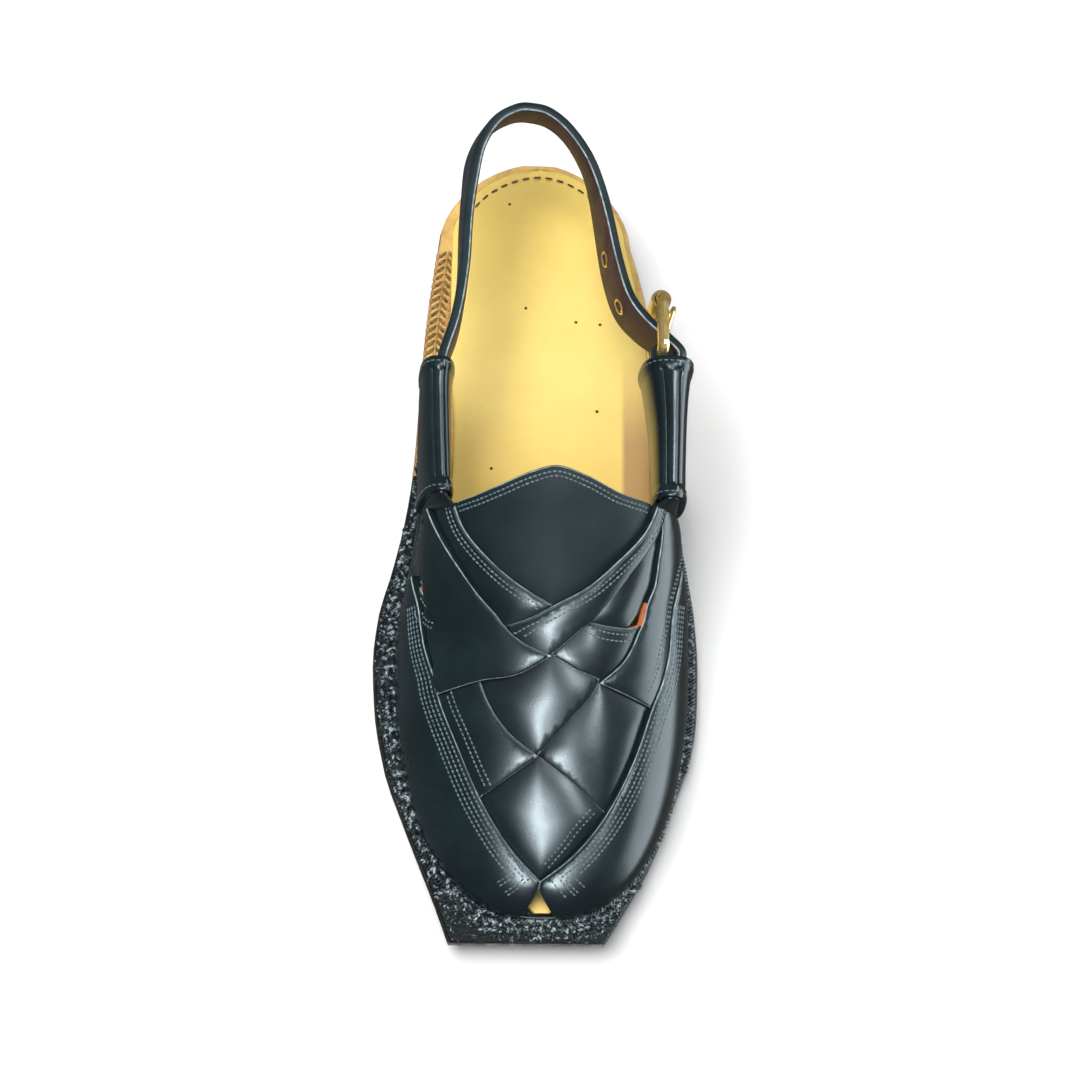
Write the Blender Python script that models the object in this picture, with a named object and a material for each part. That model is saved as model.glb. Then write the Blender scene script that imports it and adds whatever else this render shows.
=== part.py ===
"""An open backed chappal for the left foot: woven vamp, squared sole and a buckled heel strap.

Metres, +Z up. The toe points to -Y and the outer side of the foot to +X. The origin lies on the floor under
the middle of the heel. Distances called "along" run forward from the heel end of the sole.
"""
import math

import bmesh
import bpy
from mathutils import Vector
from mathutils.geometry import delaunay_2d_cdt

# Driving sizes of the sole
SOLE_LENGTH = 0.296
BALL_WIDTH = 0.1185
HEEL_HEIGHT = 0.014
TOE_SPRING = 0.008
OUTSOLE_THICK = 0.0045
WELT_THICK = 0.0045
INSOLE_THICK = 0.003
HEEL_TOP_PIECE = 0.005
HEEL_SETBACK = 0.030

# Driving sizes of the last and the upper
INSTEP_HEIGHT = 0.070
WALL = 0.0015
STRAP_STEP = 0.0010
INSOLE_CLEARANCE = 0.0016

# Driving sizes of the heel strap, its sleeves and the buckle
STRAP_HEIGHT = 0.020
STRAP_THICK = 0.0036
CHAPE_THICK = 0.0030
CHAPE_HEIGHT = 0.0172
SLEEVE_HEIGHT = 0.029
SLEEVE_WALL = 0.0017
SLEEVE_RIM = 0.0006
SLEEVE_RIM_LENGTH = 0.0035
ROD = 0.0042
ROLLER = 0.0070
PRONG = 0.0024
EYELET_BORE = 0.0030
EYELET_FLANGE = 0.0056
EYELET_WALL = 0.0004

# Small clearance between pieces that touch on the real shoe
GAP = 0.0003

# Colours
RUBBER = (0.015, 0.014, 0.013)
HEEL_EDGE = (0.030, 0.022, 0.018)
SOLE_EDGE = (0.045, 0.030, 0.022)
WELT_EDGE = (0.020, 0.020, 0.018)
FOOT_BED = (0.78, 0.56, 0.24)
UPPER_LEATHER = (0.012, 0.020, 0.018)
STRAP_LEATHER = (0.015, 0.022, 0.020)
BRASS = (0.80, 0.58, 0.22)

HALF_BALL = BALL_WIDTH / 2
FEATHER = OUTSOLE_THICK + GAP + WELT_THICK + GAP

# Where the heel ends, the arch ends and the toe spring begins, as shares of the sole's length
HEEL_END = 0.25
ARCH_END = 0.56
SPRING_START = 0.76

# Outline of the sole. along: share of the sole's length; inner, outer: shares of half the ball width
SOLE_OUTLINE = (
    # along, inner, outer
    (0.115, 0.645, 0.582),
    (0.149, 0.667, 0.630),
    (0.216, 0.707, 0.700),
    (0.277, 0.733, 0.734),
    (0.338, 0.751, 0.768),
    (0.402, 0.771, 0.802),
    (0.453, 0.803, 0.849),
    (0.490, 0.839, 0.885),
    (0.541, 0.901, 0.950),
    (0.591, 0.969, 0.985),
    (0.649, 0.998, 1.000),
    (0.720, 0.977, 0.986),
    (0.764, 0.937, 0.949),
    (0.791, 0.905, 0.901),
    (0.845, 0.805, 0.793),
    (0.895, 0.706, 0.689),
    (0.949, 0.599, 0.530),
    (0.992, 0.523, 0.392),
)
HEEL_ROUND_POWER = 1.8

# Outline of the foot bed behind the vamp, with the same columns
INSOLE_OUTLINE = (
    (0.115, 0.560, 0.535),
    (0.190, 0.565, 0.610),
    (0.277, 0.560, 0.665),
    (0.370, 0.530, 0.690),
    (0.440, 0.540, 0.700),
    (0.480, 0.600, 0.715),
)
INSOLE_SETBACK = 0.0045
OUTLINE_STATIONS = 44
HEEL_ROUND_TURNS = 9
HEEL_ROUND_START = 12.0
TOE_TURNS = 12

# Sides of the layers of the sole, from the bottom up
HEEL_TOP_SIDE = (
    # share of height, inset
    (0.0, 0.0022),
    (0.16, 0.0014),
    (1.0, 0.0012),
)
HEEL_BLOCK_SIDE = (
    (0.0, 0.0014),
    (0.30, 0.0014),
    (0.36, 0.0018),
    (0.42, 0.0014),
    (0.64, 0.0014),
    (0.70, 0.0018),
    (0.76, 0.0014),
    (1.0, 0.0010),
)
OUTSOLE_SIDE = (
    (0.0, 0.0010),
    (0.18, 0.0004),
    (0.70, 0.0),
    (1.0, 0.0006),
)
WELT_SIDE = (
    (0.0, 0.0012),
    (0.25, 0.0006),
    (0.45, 0.0010),
    (0.60, 0.0006),
    (0.85, 0.0006),
    (1.0, 0.0012),
)
INSOLE_SIDE = (
    (0.0, 0.0),
    (0.8, 0.0),
    (1.0, 0.0005),
)

# Sections of the last. inner, outer: shares of half the ball width; rise: height of the ridge over the
# feather as a share of the instep height; fullness: below 1 is boxy, near 1 is round
LAST = (
    # along, inner, outer, rise, fullness
    (0.330, 0.655, 0.695, 1.240, 0.46),
    (0.420, 0.675, 0.720, 1.120, 0.46),
    (0.490, 0.700, 0.755, 1.000, 0.50),
    (0.540, 0.735, 0.800, 0.880, 0.56),
    (0.590, 0.770, 0.830, 0.756, 0.68),
    (0.642, 0.790, 0.838, 0.649, 0.80),
    (0.730, 0.790, 0.838, 0.520, 0.85),
    (0.810, 0.790, 0.838, 0.430, 0.85),
    (0.900, 0.790, 0.838, 0.320, 0.85),
    (0.980, 0.790, 0.838, 0.220, 0.85),
)
RIDGE_ACROSS = 0.017
FAN_START = 0.642
FAN_REACH = 0.3095
FAN_POWER = 2.3

# Where the edges of the straps start, cross and end on the last. across: signed share of the way from the
# ridge to the feather, inner side negative; along: share of the sole's length
CROSSINGS = {
    # name: (across, along)
    "collar_in": (-0.408, 0.507),
    "collar_1": (-0.312, 0.504),
    "collar_2": (-0.212, 0.497),
    "collar_3": (-0.100, 0.486),
    "collar_peak": (-0.005, 0.480),
    "collar_4": (0.100, 0.488),
    "collar_5": (0.232, 0.501),
    "collar_out": (0.400, 0.505),
    "first_1": (-0.352, 0.535),
    "first_2": (-0.271, 0.562),
    "first_3": (-0.171, 0.589),
    "first_4": (-0.076, 0.608),
    "cross_top": (0.000, 0.620),
    "second_1": (0.335, 0.535),
    "second_2": (0.233, 0.568),
    "second_3": (0.128, 0.598),
    "second_4": (-0.086, 0.633),
    "cross_in": (-0.181, 0.642),
    "third_start": (-0.565, 0.503),
    "third_1": (-0.477, 0.532),
    "third_2": (-0.378, 0.569),
    "third_3": (-0.293, 0.603),
    "third_4": (-0.213, 0.630),
    "third_5": (-0.112, 0.652),
    "cross_mid": (0.002, 0.660),
    "third_left_1": (-0.590, 0.535),
    "gap_in_top": (-0.575, 0.566),
    "gap_in_left": (-0.640, 0.585),
    "gap_in_low": (-0.560, 0.607),
    "third_left_2": (-0.475, 0.635),
    "third_left_3": (-0.500, 0.662),
    "band_1": (0.214, 0.613),
    "band_2": (0.292, 0.580),
    "band_3": (0.402, 0.536),
    "band_fork": (0.442, 0.516),
    "band_start": (0.470, 0.503),
    "bar_in": (0.149, 0.636),
    "bar_1": (0.226, 0.639),
    "gap_out_in": (0.330, 0.6385),
    "gap_out_low": (0.384, 0.634),
    "gap_out_top": (0.398, 0.608),
    "outer_1": (0.422, 0.588),
    "outer_2": (0.426, 0.560),
    "outer_3": (0.314, 0.660),
    "cross_out": (0.200, 0.677),
    "bar_low": (0.105, 0.669),
    "right_1": (0.308, 0.684),
    "panel_out_mid": (0.465, 0.695),
    "tile_1": (-0.129, 0.672),
    "tile_left": (-0.287, 0.677),
    "tile_2": (-0.243, 0.693),
    "tile_3": (-0.166, 0.710),
    "tile_low": (-0.042, 0.726),
    "tile_4": (0.069, 0.704),
    "panel_in_upper": (-0.515, 0.676),
    "panel_in_mid": (-0.495, 0.688),
    "left_1": (-0.394, 0.724),
    "panel_in_low": (-0.295, 0.762),
    "left_2": (-0.167, 0.743),
    "right_2": (0.383, 0.733),
    "panel_out_low": (0.271, 0.774),
    "right_3": (0.110, 0.746),
    "toe_in": (-0.173, 0.802),
    "toe_out": (0.146, 0.808),
    "toe_seam": (-0.020, 0.843),
    "peep_top": (-0.030, 0.856),
    "panel_in_1": (-0.586, 0.646),
    "panel_in_2": (-0.623, 0.605),
    "panel_in_rear": (-0.711, 0.568),
    "panel_out_1": (0.525, 0.675),
    "panel_out_2": (0.573, 0.648),
    "panel_out_3": (0.577, 0.600),
    "panel_out_rear": (0.640, 0.560),
    "bunch_in": (-0.725, 0.503),
    "bunch_out": (0.725, 0.503),
    "wing_in_1": (-0.780, 0.482),
    "wing_in_2": (-0.860, 0.440),
    "wing_in_3": (-0.950, 0.398),
    "wing_out_1": (0.780, 0.482),
    "wing_out_2": (0.860, 0.440),
    "wing_out_3": (0.950, 0.398),
}
WING_FOOT = 0.375
PANEL_FOOT = 0.590
PEEP_IN = 0.170
PEEP_OUT = 0.120

# The cells of the weave: how many strap steps each stands over the bare wall, and its corners in turn.
# A name that starts with "feather" runs along the feather to the next corner.
CELLS = (
    # name, steps, corners
    ("tongue", 0.0, "collar_in collar_1 collar_2 collar_3 collar_peak collar_4 collar_5 collar_out "
                    "second_1 second_2 second_3 cross_top first_4 first_3 first_2 first_1"),
    ("first_strap", 1.1, "collar_in first_1 first_2 first_3 first_4 cross_top second_4 cross_in "
                         "third_4 third_3 third_2 third_1 third_start"),
    ("second_strap", 2.1, "collar_out band_start band_fork band_3 band_2 band_1 bar_in cross_mid third_5 cross_in "
                          "second_4 cross_top second_3 second_2 second_1"),
    ("third_strap", 3.0, "third_start third_1 third_2 third_3 third_4 cross_in third_5 cross_mid tile_1 "
                         "tile_left panel_in_mid panel_in_upper third_left_3 third_left_2 gap_in_low gap_in_top "
                         "third_left_1"),
    ("inner_bar", 1.0, "gap_in_left gap_in_low third_left_2 third_left_3 panel_in_upper panel_in_1 "
                       "panel_in_2"),
    ("fourth_strap", 0.2, "band_fork band_3 band_2 band_1 bar_in bar_1 gap_out_in gap_out_top outer_1 "
                          "outer_2"),
    ("outer_bar", 0.9, "bar_in bar_1 gap_out_in gap_out_low outer_3 cross_out bar_low cross_mid"),
    ("fifth_strap", 1.8, "band_start band_fork outer_2 outer_1 gap_out_top gap_out_low outer_3 cross_out right_1 "
                         "panel_out_mid panel_out_1 panel_out_2 panel_out_3 panel_out_rear bunch_out"),
    ("middle_tile", 0.6, "cross_mid bar_low cross_out tile_4 tile_low tile_3 tile_2 tile_left tile_1"),
    ("inner_tile", 1.6, "tile_left tile_2 tile_3 tile_low left_2 panel_in_low left_1 panel_in_mid"),
    ("outer_tile", 0.3, "cross_out right_1 panel_out_mid right_2 panel_out_low right_3 tile_low tile_4"),
    ("toe_tile", 0.0, "tile_low right_3 panel_out_low toe_out toe_seam toe_in panel_in_low left_2"),
    ("inner_panel", 2.3, "panel_in_rear panel_in_2 panel_in_1 panel_in_upper panel_in_mid left_1 panel_in_low toe_in "
                         "toe_seam peep_top feather_toe_in feather_panel_in"),
    ("outer_panel", 2.3, "panel_out_rear panel_out_3 panel_out_2 panel_out_1 panel_out_mid right_2 "
                         "panel_out_low toe_out toe_seam peep_top feather_toe_out feather_panel_out"),
    ("inner_wing", 0.1, "third_start third_left_1 gap_in_top gap_in_left panel_in_2 panel_in_rear "
                        "feather_panel_in feather_wing_in wing_in_3 wing_in_2 wing_in_1 bunch_in"),
    ("outer_wing", 0.1, "panel_out_rear feather_panel_out feather_wing_out wing_out_3 wing_out_2 wing_out_1 "
                        "bunch_out"),
)
GRID_ACROSS = 0.060
GRID_ALONG = 0.0175
EDGE_STEP = 0.009
GRID_MARGIN = 0.0016
FEATHER_MARGIN = 0.02
NORMAL_STEP = 0.002
MERGE = 1e-7
FEATHER_STEP = 0.024
SECTION_ARC = 0.074

# Outer top edge of the heel strap, from its end in the inner sleeve round the heel to its tail. across: share
# of half the ball width; along: share of the sole's length; top: height over the floor as a share of the
# instep height; lean: how far the top edge stands inside the bottom edge, as a share of the strap's height
STRAP_ROUTE = (
    # across, along, top, lean
    (-0.675, 0.488, 0.972, 0.14),
    (-0.682, 0.430, 1.005, 0.10),
    (-0.688, 0.375, 1.030, 0.06),
    (-0.668, 0.335, 1.050, 0.02),
    (-0.595, 0.285, 1.070, 0.00),
    (-0.549, 0.225, 1.080, 0.02),
    (-0.530, 0.160, 1.095, 0.06),
    (-0.500, 0.113, 1.115, 0.12),
    (-0.455, 0.072, 1.140, 0.20),
    (-0.360, 0.040, 1.160, 0.26),
    (-0.235, 0.024, 1.170, 0.28),
    (-0.130, 0.0215, 1.170, 0.28),
    (-0.012, 0.027, 1.165, 0.26),
    (0.112, 0.046, 1.150, 0.20),
    (0.232, 0.078, 1.125, 0.10),
    (0.309, 0.113, 1.100, 0.00),
    (0.366, 0.155, 1.085, -0.08),
    (0.422, 0.208, 1.075, -0.13),
    (0.485, 0.252, 1.072, -0.12),
    (0.575, 0.279, 1.072, -0.06),
    (0.690, 0.301, 1.072, 0.00),
    (0.787, 0.324, 1.065, 0.00),
    (0.757, 0.355, 1.055, 0.00),
    (0.755, 0.392, 1.030, 0.01),
    (0.754, 0.422, 1.012, 0.01),
)
STRAP_PER_SPAN = 3
EYELET_PLACES = (0.700, 0.750)
PRONG_HOLE_PLACE = 0.833
PRONG_HOLE_LENGTH = 0.0075

# Sleeves. across: centre, as a share of half the ball width; along: share of the sole's length; middle:
# height over the floor as a share of the instep height; width: a share of the strap's height; lean: top to
# the inner side, as a share of the sleeve's height
SLEEVE_IN = (
    # across, along, middle, width, lean
    (-0.668, 0.5010, 0.825, 0.50, 0.14),
    (-0.671, 0.4600, 0.842, 0.53, 0.10),
    (-0.675, 0.4150, 0.860, 0.54, 0.07),
    (-0.675, 0.3780, 0.877, 0.54, 0.04),
    (-0.668, 0.3440, 0.900, 0.56, 0.02),
)
SLEEVE_OUT = (
    (0.700, 0.5010, 0.825, 0.560, 0.05),
    (0.698, 0.4600, 0.845, 0.580, 0.03),
    (0.694, 0.4150, 0.875, 0.620, 0.01),
    (0.686, 0.3780, 0.905, 0.720, 0.00),
    (0.682, 0.3375, 0.930, 0.900, 0.00),
)
SLEEVE_SIDES = 20
SLEEVE_SQUARENESS = 4.0

# Buckle: where its two upright bars stand, and its middle height
BAR_ACROSS = 0.641
FRONT_BAR_ALONG = 0.328
REAR_BAR_ALONG = 0.260
BUCKLE_MIDDLE = 0.930
FRAME_CORNER = 0.0030
CHAPE_ROUTE = (
    # across, along
    (0.650, 0.360),
    (0.654, 0.400),
    (0.664, 0.450),
    (0.678, 0.494),
)
CHAPE_EYE_WALL = 0.0016
PRONG_SLOT = 0.0050
PRONG_RING_WALL = 0.0012


# Faces of a box whose corners run round its bottom and then round its top
BOX_FACES = ((0, 1, 2, 3), (4, 5, 6, 7), (0, 1, 5, 4), (1, 2, 6, 5), (2, 3, 7, 6), (3, 0, 4, 7))


def clear_scene():
    """Take out whatever the scene holds."""
    for item in list(bpy.data.objects):
        bpy.data.objects.remove(item, do_unlink=True)


def material(name, colour, roughness, metallic=0.0):
    """A plain Principled material."""
    made = bpy.data.materials.new(name)
    made.use_nodes = True
    shader = made.node_tree.nodes["Principled BSDF"]
    shader.inputs["Base Color"].default_value = (*colour, 1.0)
    shader.inputs["Roughness"].default_value = roughness
    shader.inputs["Metallic"].default_value = metallic
    return made


def add_object(name, points, faces, colour, roughness, metallic=0.0, sharp=30.0):
    """An object from points and faces, shaded smooth up to the given angle."""
    mesh = bpy.data.meshes.new(name)
    mesh.from_pydata([tuple(point) for point in points], [], facing_out(points, faces))
    mesh.shade_smooth()
    mesh.set_sharp_from_angle(angle=math.radians(sharp))
    mesh.materials.append(material(name, colour, roughness, metallic))
    made = bpy.data.objects.new(name, mesh)
    bpy.context.scene.collection.objects.link(made)
    return made


def facing_out(points, faces):
    """Faces of a closed shape, turned so that all face outward."""
    shape = bmesh.new()
    verts = [shape.verts.new(point) for point in points]
    for face in faces:
        shape.faces.new([verts[index] for index in face])
    bmesh.ops.recalc_face_normals(shape, faces=shape.faces)
    shape.verts.index_update()
    turned = [tuple(vert.index for vert in face.verts) for face in shape.faces]
    shape.free()
    return turned


def combine(target, name, operation, points, faces):
    """Cut a hidden shape out of the target, or join it on."""
    mesh = bpy.data.meshes.new(name)
    mesh.from_pydata([tuple(point) for point in points], [], facing_out(points, faces))
    guide = bpy.data.objects.new(name, mesh)
    bpy.context.scene.collection.objects.link(guide)
    guide.hide_render = True
    guide.display_type = "WIRE"
    change = target.modifiers.new(name, "BOOLEAN")
    change.operation = operation
    change.solver = "EXACT"
    change.object = guide


def place(across, along, height):
    """A point from metres across, metres forward of the heel end and metres over the floor."""
    return Vector((across, HEEL_SETBACK - along, height))


def read_table(rows, column, value):
    """Smooth reading of a table whose first column rises, with no overshoot between rows."""
    keys = [row[0] for row in rows]
    if value <= keys[0]:
        return rows[0][column]
    if value >= keys[-1]:
        return rows[-1][column]
    slopes = [(b[column] - a[column]) / (b[0] - a[0]) for a, b in zip(rows, rows[1:])]

    def tangent(row):
        if row == 0:
            return slopes[0]
        if row == len(rows) - 1:
            return slopes[-1]
        before, after = slopes[row - 1], slopes[row]
        return 0.0 if before * after <= 0 else 2 * before * after / (before + after)

    start = max(row for row in range(len(rows) - 1) if keys[row] <= value)
    span = keys[start + 1] - keys[start]
    t = (value - keys[start]) / span
    return ((2 * t**3 - 3 * t**2 + 1) * rows[start][column]
            + (t**3 - 2 * t**2 + t) * span * tangent(start)
            + (3 * t**2 - 2 * t**3) * rows[start + 1][column]
            + (t**3 - t**2) * span * tangent(start + 1))


def smooth_route(rows, per_span):
    """Points of a smooth curve through the rows, each column read alike."""
    count = len(rows)
    route = []
    for index in range(count - 1):
        before = rows[max(index - 1, 0)]
        start, end = rows[index], rows[index + 1]
        after = rows[min(index + 2, count - 1)]
        for step in range(per_span):
            t = step / per_span
            route.append(tuple(
                0.5 * (2 * b + (c - a) * t + (2 * a - 5 * b + 4 * c - d) * t**2 + (3 * b - a - 3 * c + d) * t**3)
                for a, b, c, d in zip(before, start, end, after)))
    route.append(tuple(rows[-1]))
    return route


def underside(along):
    """Height of the outsole's underside: raised on the heel, down on the ball, up again at the toe."""
    share = along / SOLE_LENGTH
    height = 0.0
    if share < HEEL_END:
        height = HEEL_HEIGHT
    elif share < ARCH_END:
        t = (share - HEEL_END) / (ARCH_END - HEEL_END)
        height = HEEL_HEIGHT * (1 - t * t * (3 - 2 * t))
    if share > SPRING_START:
        height += TOE_SPRING * ((share - SPRING_START) / (1 - SPRING_START)) ** 2
    return height


def feather_height(along):
    """Height of the upper's lower edge, just over the welt."""
    return underside(along) + FEATHER


def outline_pairs(rows, heel_start):
    """Inner and outer edge points from the heel's round end forward, in metres across and along."""
    end = rows[0][0]
    pairs = []
    first = math.radians(HEEL_ROUND_START)
    for turn in range(HEEL_ROUND_TURNS):
        angle = first + (math.pi / 2 - first) * turn / HEEL_ROUND_TURNS
        share = 1 - math.cos(angle)
        wide = (1 - (1 - share) ** HEEL_ROUND_POWER) ** (1 / HEEL_ROUND_POWER)
        along = heel_start + (end * SOLE_LENGTH - heel_start) * share
        pairs.append(((-rows[0][1] * HALF_BALL * wide, along), (rows[0][2] * HALF_BALL * wide, along)))
    steps = max(2, round((rows[-1][0] - end) * OUTLINE_STATIONS))
    for step in range(steps + 1):
        share = end + (rows[-1][0] - end) * step / steps
        along = share * SOLE_LENGTH
        inner = -read_table(rows, 1, share) * HALF_BALL
        outer = read_table(rows, 2, share) * HALF_BALL
        pairs.append(((inner, along), (outer, along)))
    return pairs


def drawn_in(point, inset):
    """A point of an outline drawn in toward the middle of the sole."""
    middle = SOLE_LENGTH / 2
    return (point[0] * (1 - inset / HALF_BALL), middle + (point[1] - middle) * (1 - inset / middle))


def layer(name, pairs, bottom, top, profile, colour, roughness):
    """A bent plate between two heights, whose side follows a profile of (share of height, inset)."""
    points = []
    for share, inset in profile:
        for pair in pairs:
            for point in pair:
                across, along = drawn_in(point, inset)
                low, high = bottom(along), top(along)
                points.append(place(across, along, low + (high - low) * share))
    row = 2 * len(pairs)
    faces = []
    last_row = row * (len(profile) - 1)
    for index in range(len(pairs) - 1):
        a = 2 * index
        faces.append((a, a + 2, a + 3, a + 1))
        faces.append((last_row + a, last_row + a + 1, last_row + a + 3, last_row + a + 2))
    for level in range(len(profile) - 1):
        low, high = level * row, (level + 1) * row
        for index in range(len(pairs) - 1):
            a = 2 * index
            faces.append((low + a + 2, low + a, high + a, high + a + 2))
            faces.append((low + a + 1, low + a + 3, high + a + 3, high + a + 1))
        faces.append((low, low + 1, high + 1, high))
        end = row - 2
        faces.append((low + end + 1, low + end, high + end, high + end + 1))
    return add_object(name, points, faces, colour, roughness)


def loft(name, rings, colour, roughness, metallic=0.0, closed=False, sharp=30.0):
    """Skin over rings of equal count; a closed loft joins its last ring to its first."""
    count = len(rings[0])
    points = [point for ring in rings for point in ring]
    faces = []
    spans = len(rings) if closed else len(rings) - 1
    for ring in range(spans):
        a = ring * count
        b = ((ring + 1) % len(rings)) * count
        for side in range(count):
            nxt = (side + 1) % count
            faces.append((a + side, a + nxt, b + nxt, b + side))
    if not closed:
        faces.append(tuple(reversed(range(count))))
        faces.append(tuple(range((len(rings) - 1) * count, len(rings) * count)))
    return add_object(name, points, faces, colour, roughness, metallic, sharp)


def circle(centre, side, up, radius, sides, start=0.0):
    """A ring of points about a centre, from the first direction toward the second."""
    return [centre + side * radius * math.cos(start + 2 * math.pi * turn / sides)
            + up * radius * math.sin(start + 2 * math.pi * turn / sides) for turn in range(sides)]


def last_point(across, along):
    """The point of the last's surface for a share across and a share along."""
    ridge = RIDGE_ACROSS * HALF_BALL
    side = 1 if across >= 0 else -1
    column = 2 if across >= 0 else 1
    if along <= FAN_START:
        half = HALF_BALL * read_table(LAST, column, along) - side * ridge
        turn = min(abs(across), 1.0) * math.pi / 2
        spread = math.sqrt(max(0.0, 1 - math.cos(turn) ** (2 / read_table(LAST, 4, along))))
        forward = along * SOLE_LENGTH
        rise = INSTEP_HEIGHT * read_table(LAST, 3, along) * math.cos(turn)
        return place(ridge + side * half * spread, forward, feather_height(forward) + rise)
    half = HALF_BALL * read_table(LAST, column, FAN_START) - side * ridge
    ahead = (along - FAN_START) / FAN_REACH
    reach = (abs(across) ** FAN_POWER + ahead**FAN_POWER) ** (1 / FAN_POWER)
    turn = min(reach, 1.0) * math.pi / 2
    spread = math.sqrt(max(0.0, 1 - math.cos(turn) ** (2 / read_table(LAST, 4, FAN_START))))
    forward = SOLE_LENGTH * (FAN_START + FAN_REACH * ahead / reach * spread)
    rise = INSTEP_HEIGHT * read_table(LAST, 3, forward / SOLE_LENGTH) * math.cos(turn)
    return place(ridge + side * half * abs(across) / reach * spread, forward, feather_height(forward) + rise)


def last_normal(across, along):
    """The outward direction of the last's surface."""
    step = NORMAL_STEP
    if not inside_last(across, along, 2 * step):
        return feather_normal(across, along)
    sideways = last_point(across + step, along) - last_point(across - step, along)
    forward = last_point(across, along + step) - last_point(across, along - step)
    return forward.cross(sideways).normalized()


def feather_normal(across, along):
    """The level outward direction at the feather."""
    turn = feather_turn(across, along)
    before = last_point(*feather_place(turn - 2 * NORMAL_STEP))
    after = last_point(*feather_place(turn + 2 * NORMAL_STEP))
    edge = after - before
    outward = Vector((-edge.y, edge.x, 0.0)).normalized()
    middle = last_point(0.0, FAN_START)
    return outward if outward.dot(before - middle) >= 0 else -outward


def feather_turn(across, along):
    """How far round the feather a place lies: below 0 on the outer side, over 1 on the inner side."""
    if along <= FAN_START:
        back = FAN_START - along
        return -back if across > 0 else 1 + back
    angle = math.atan2((max(along - FAN_START, 0.0) / FAN_REACH) ** (FAN_POWER / 2),
                       math.copysign(abs(across) ** (FAN_POWER / 2), across))
    return angle / math.pi


def feather_place(turn):
    """The share across and along of a place on the feather."""
    if turn <= 0:
        return 1.0, FAN_START + turn
    if turn >= 1:
        return -1.0, FAN_START - (turn - 1)
    angle = turn * math.pi
    across = math.copysign(abs(math.cos(angle)) ** (2 / FAN_POWER), math.cos(angle))
    return across, FAN_START + FAN_REACH * math.sin(angle) ** (2 / FAN_POWER)


def feather_run(start, end):
    """Places along the feather between two turns, without the ends."""
    count = max(1, round(abs(end - start) / FEATHER_STEP))
    return [feather_place(start + (end - start) * step / count) for step in range(1, count)]


def toe_turn(across):
    """The turn of the place on the toe's feather at a share across."""
    return math.acos(math.copysign(abs(across) ** (FAN_POWER / 2), across)) / math.pi


def cell_loops():
    """Every cell as a list of places, with the feather runs filled in."""
    feather = {
        "feather_toe_in": toe_turn(-PEEP_IN),
        "feather_toe_out": toe_turn(PEEP_OUT),
        "feather_panel_in": 1 + FAN_START - PANEL_FOOT,
        "feather_panel_out": -(FAN_START - PANEL_FOOT),
        "feather_wing_in": 1 + FAN_START - WING_FOOT,
        "feather_wing_out": -(FAN_START - WING_FOOT),
    }
    loops = []
    for name, steps, corners in CELLS:
        places = []
        names = corners.split()
        for index, corner in enumerate(names):
            if corner not in feather:
                places.append(CROSSINGS[corner])
                continue
            places.append(feather_place(feather[corner]))
            following = names[(index + 1) % len(names)]
            if following in feather:
                places.extend(feather_run(feather[corner], feather[following]))
        loops.append((name, WALL + STRAP_STEP * steps, divided(places)))
    return loops


def divided(places):
    """A loop of places with its long edges split evenly."""
    finer = []
    for start, end in zip(places, places[1:] + places[:1]):
        low, high = sorted((start, end))
        count = max(1, math.ceil((flat(high) - flat(low)).length / EDGE_STEP))
        between = [tuple(a + (b - a) * step / count for a, b in zip(low, high)) for step in range(1, count)]
        finer.append(start)
        finer.extend(between if start == low else reversed(between))
    return finer


def inside_last(across, along, margin):
    """Whether a place lies on the last with a margin to the feather."""
    if along <= FAN_START:
        return abs(across) < 1 - margin
    ahead = (along - FAN_START) / FAN_REACH
    return (abs(across) ** FAN_POWER + ahead**FAN_POWER) ** (1 / FAN_POWER) < 1 - margin


def distance_to_segment(point, start, end):
    """Distance of a flat point from a flat segment."""
    line = end - start
    share = max(0.0, min(1.0, (point - start).dot(line) / max(line.length_squared, 1e-12)))
    return (point - start - line * share).length


def flat(place_on_last):
    """A place on the last laid out flat, roughly to scale, seen from above."""
    return Vector((place_on_last[0] * SECTION_ARC, -place_on_last[1] * SOLE_LENGTH))


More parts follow.
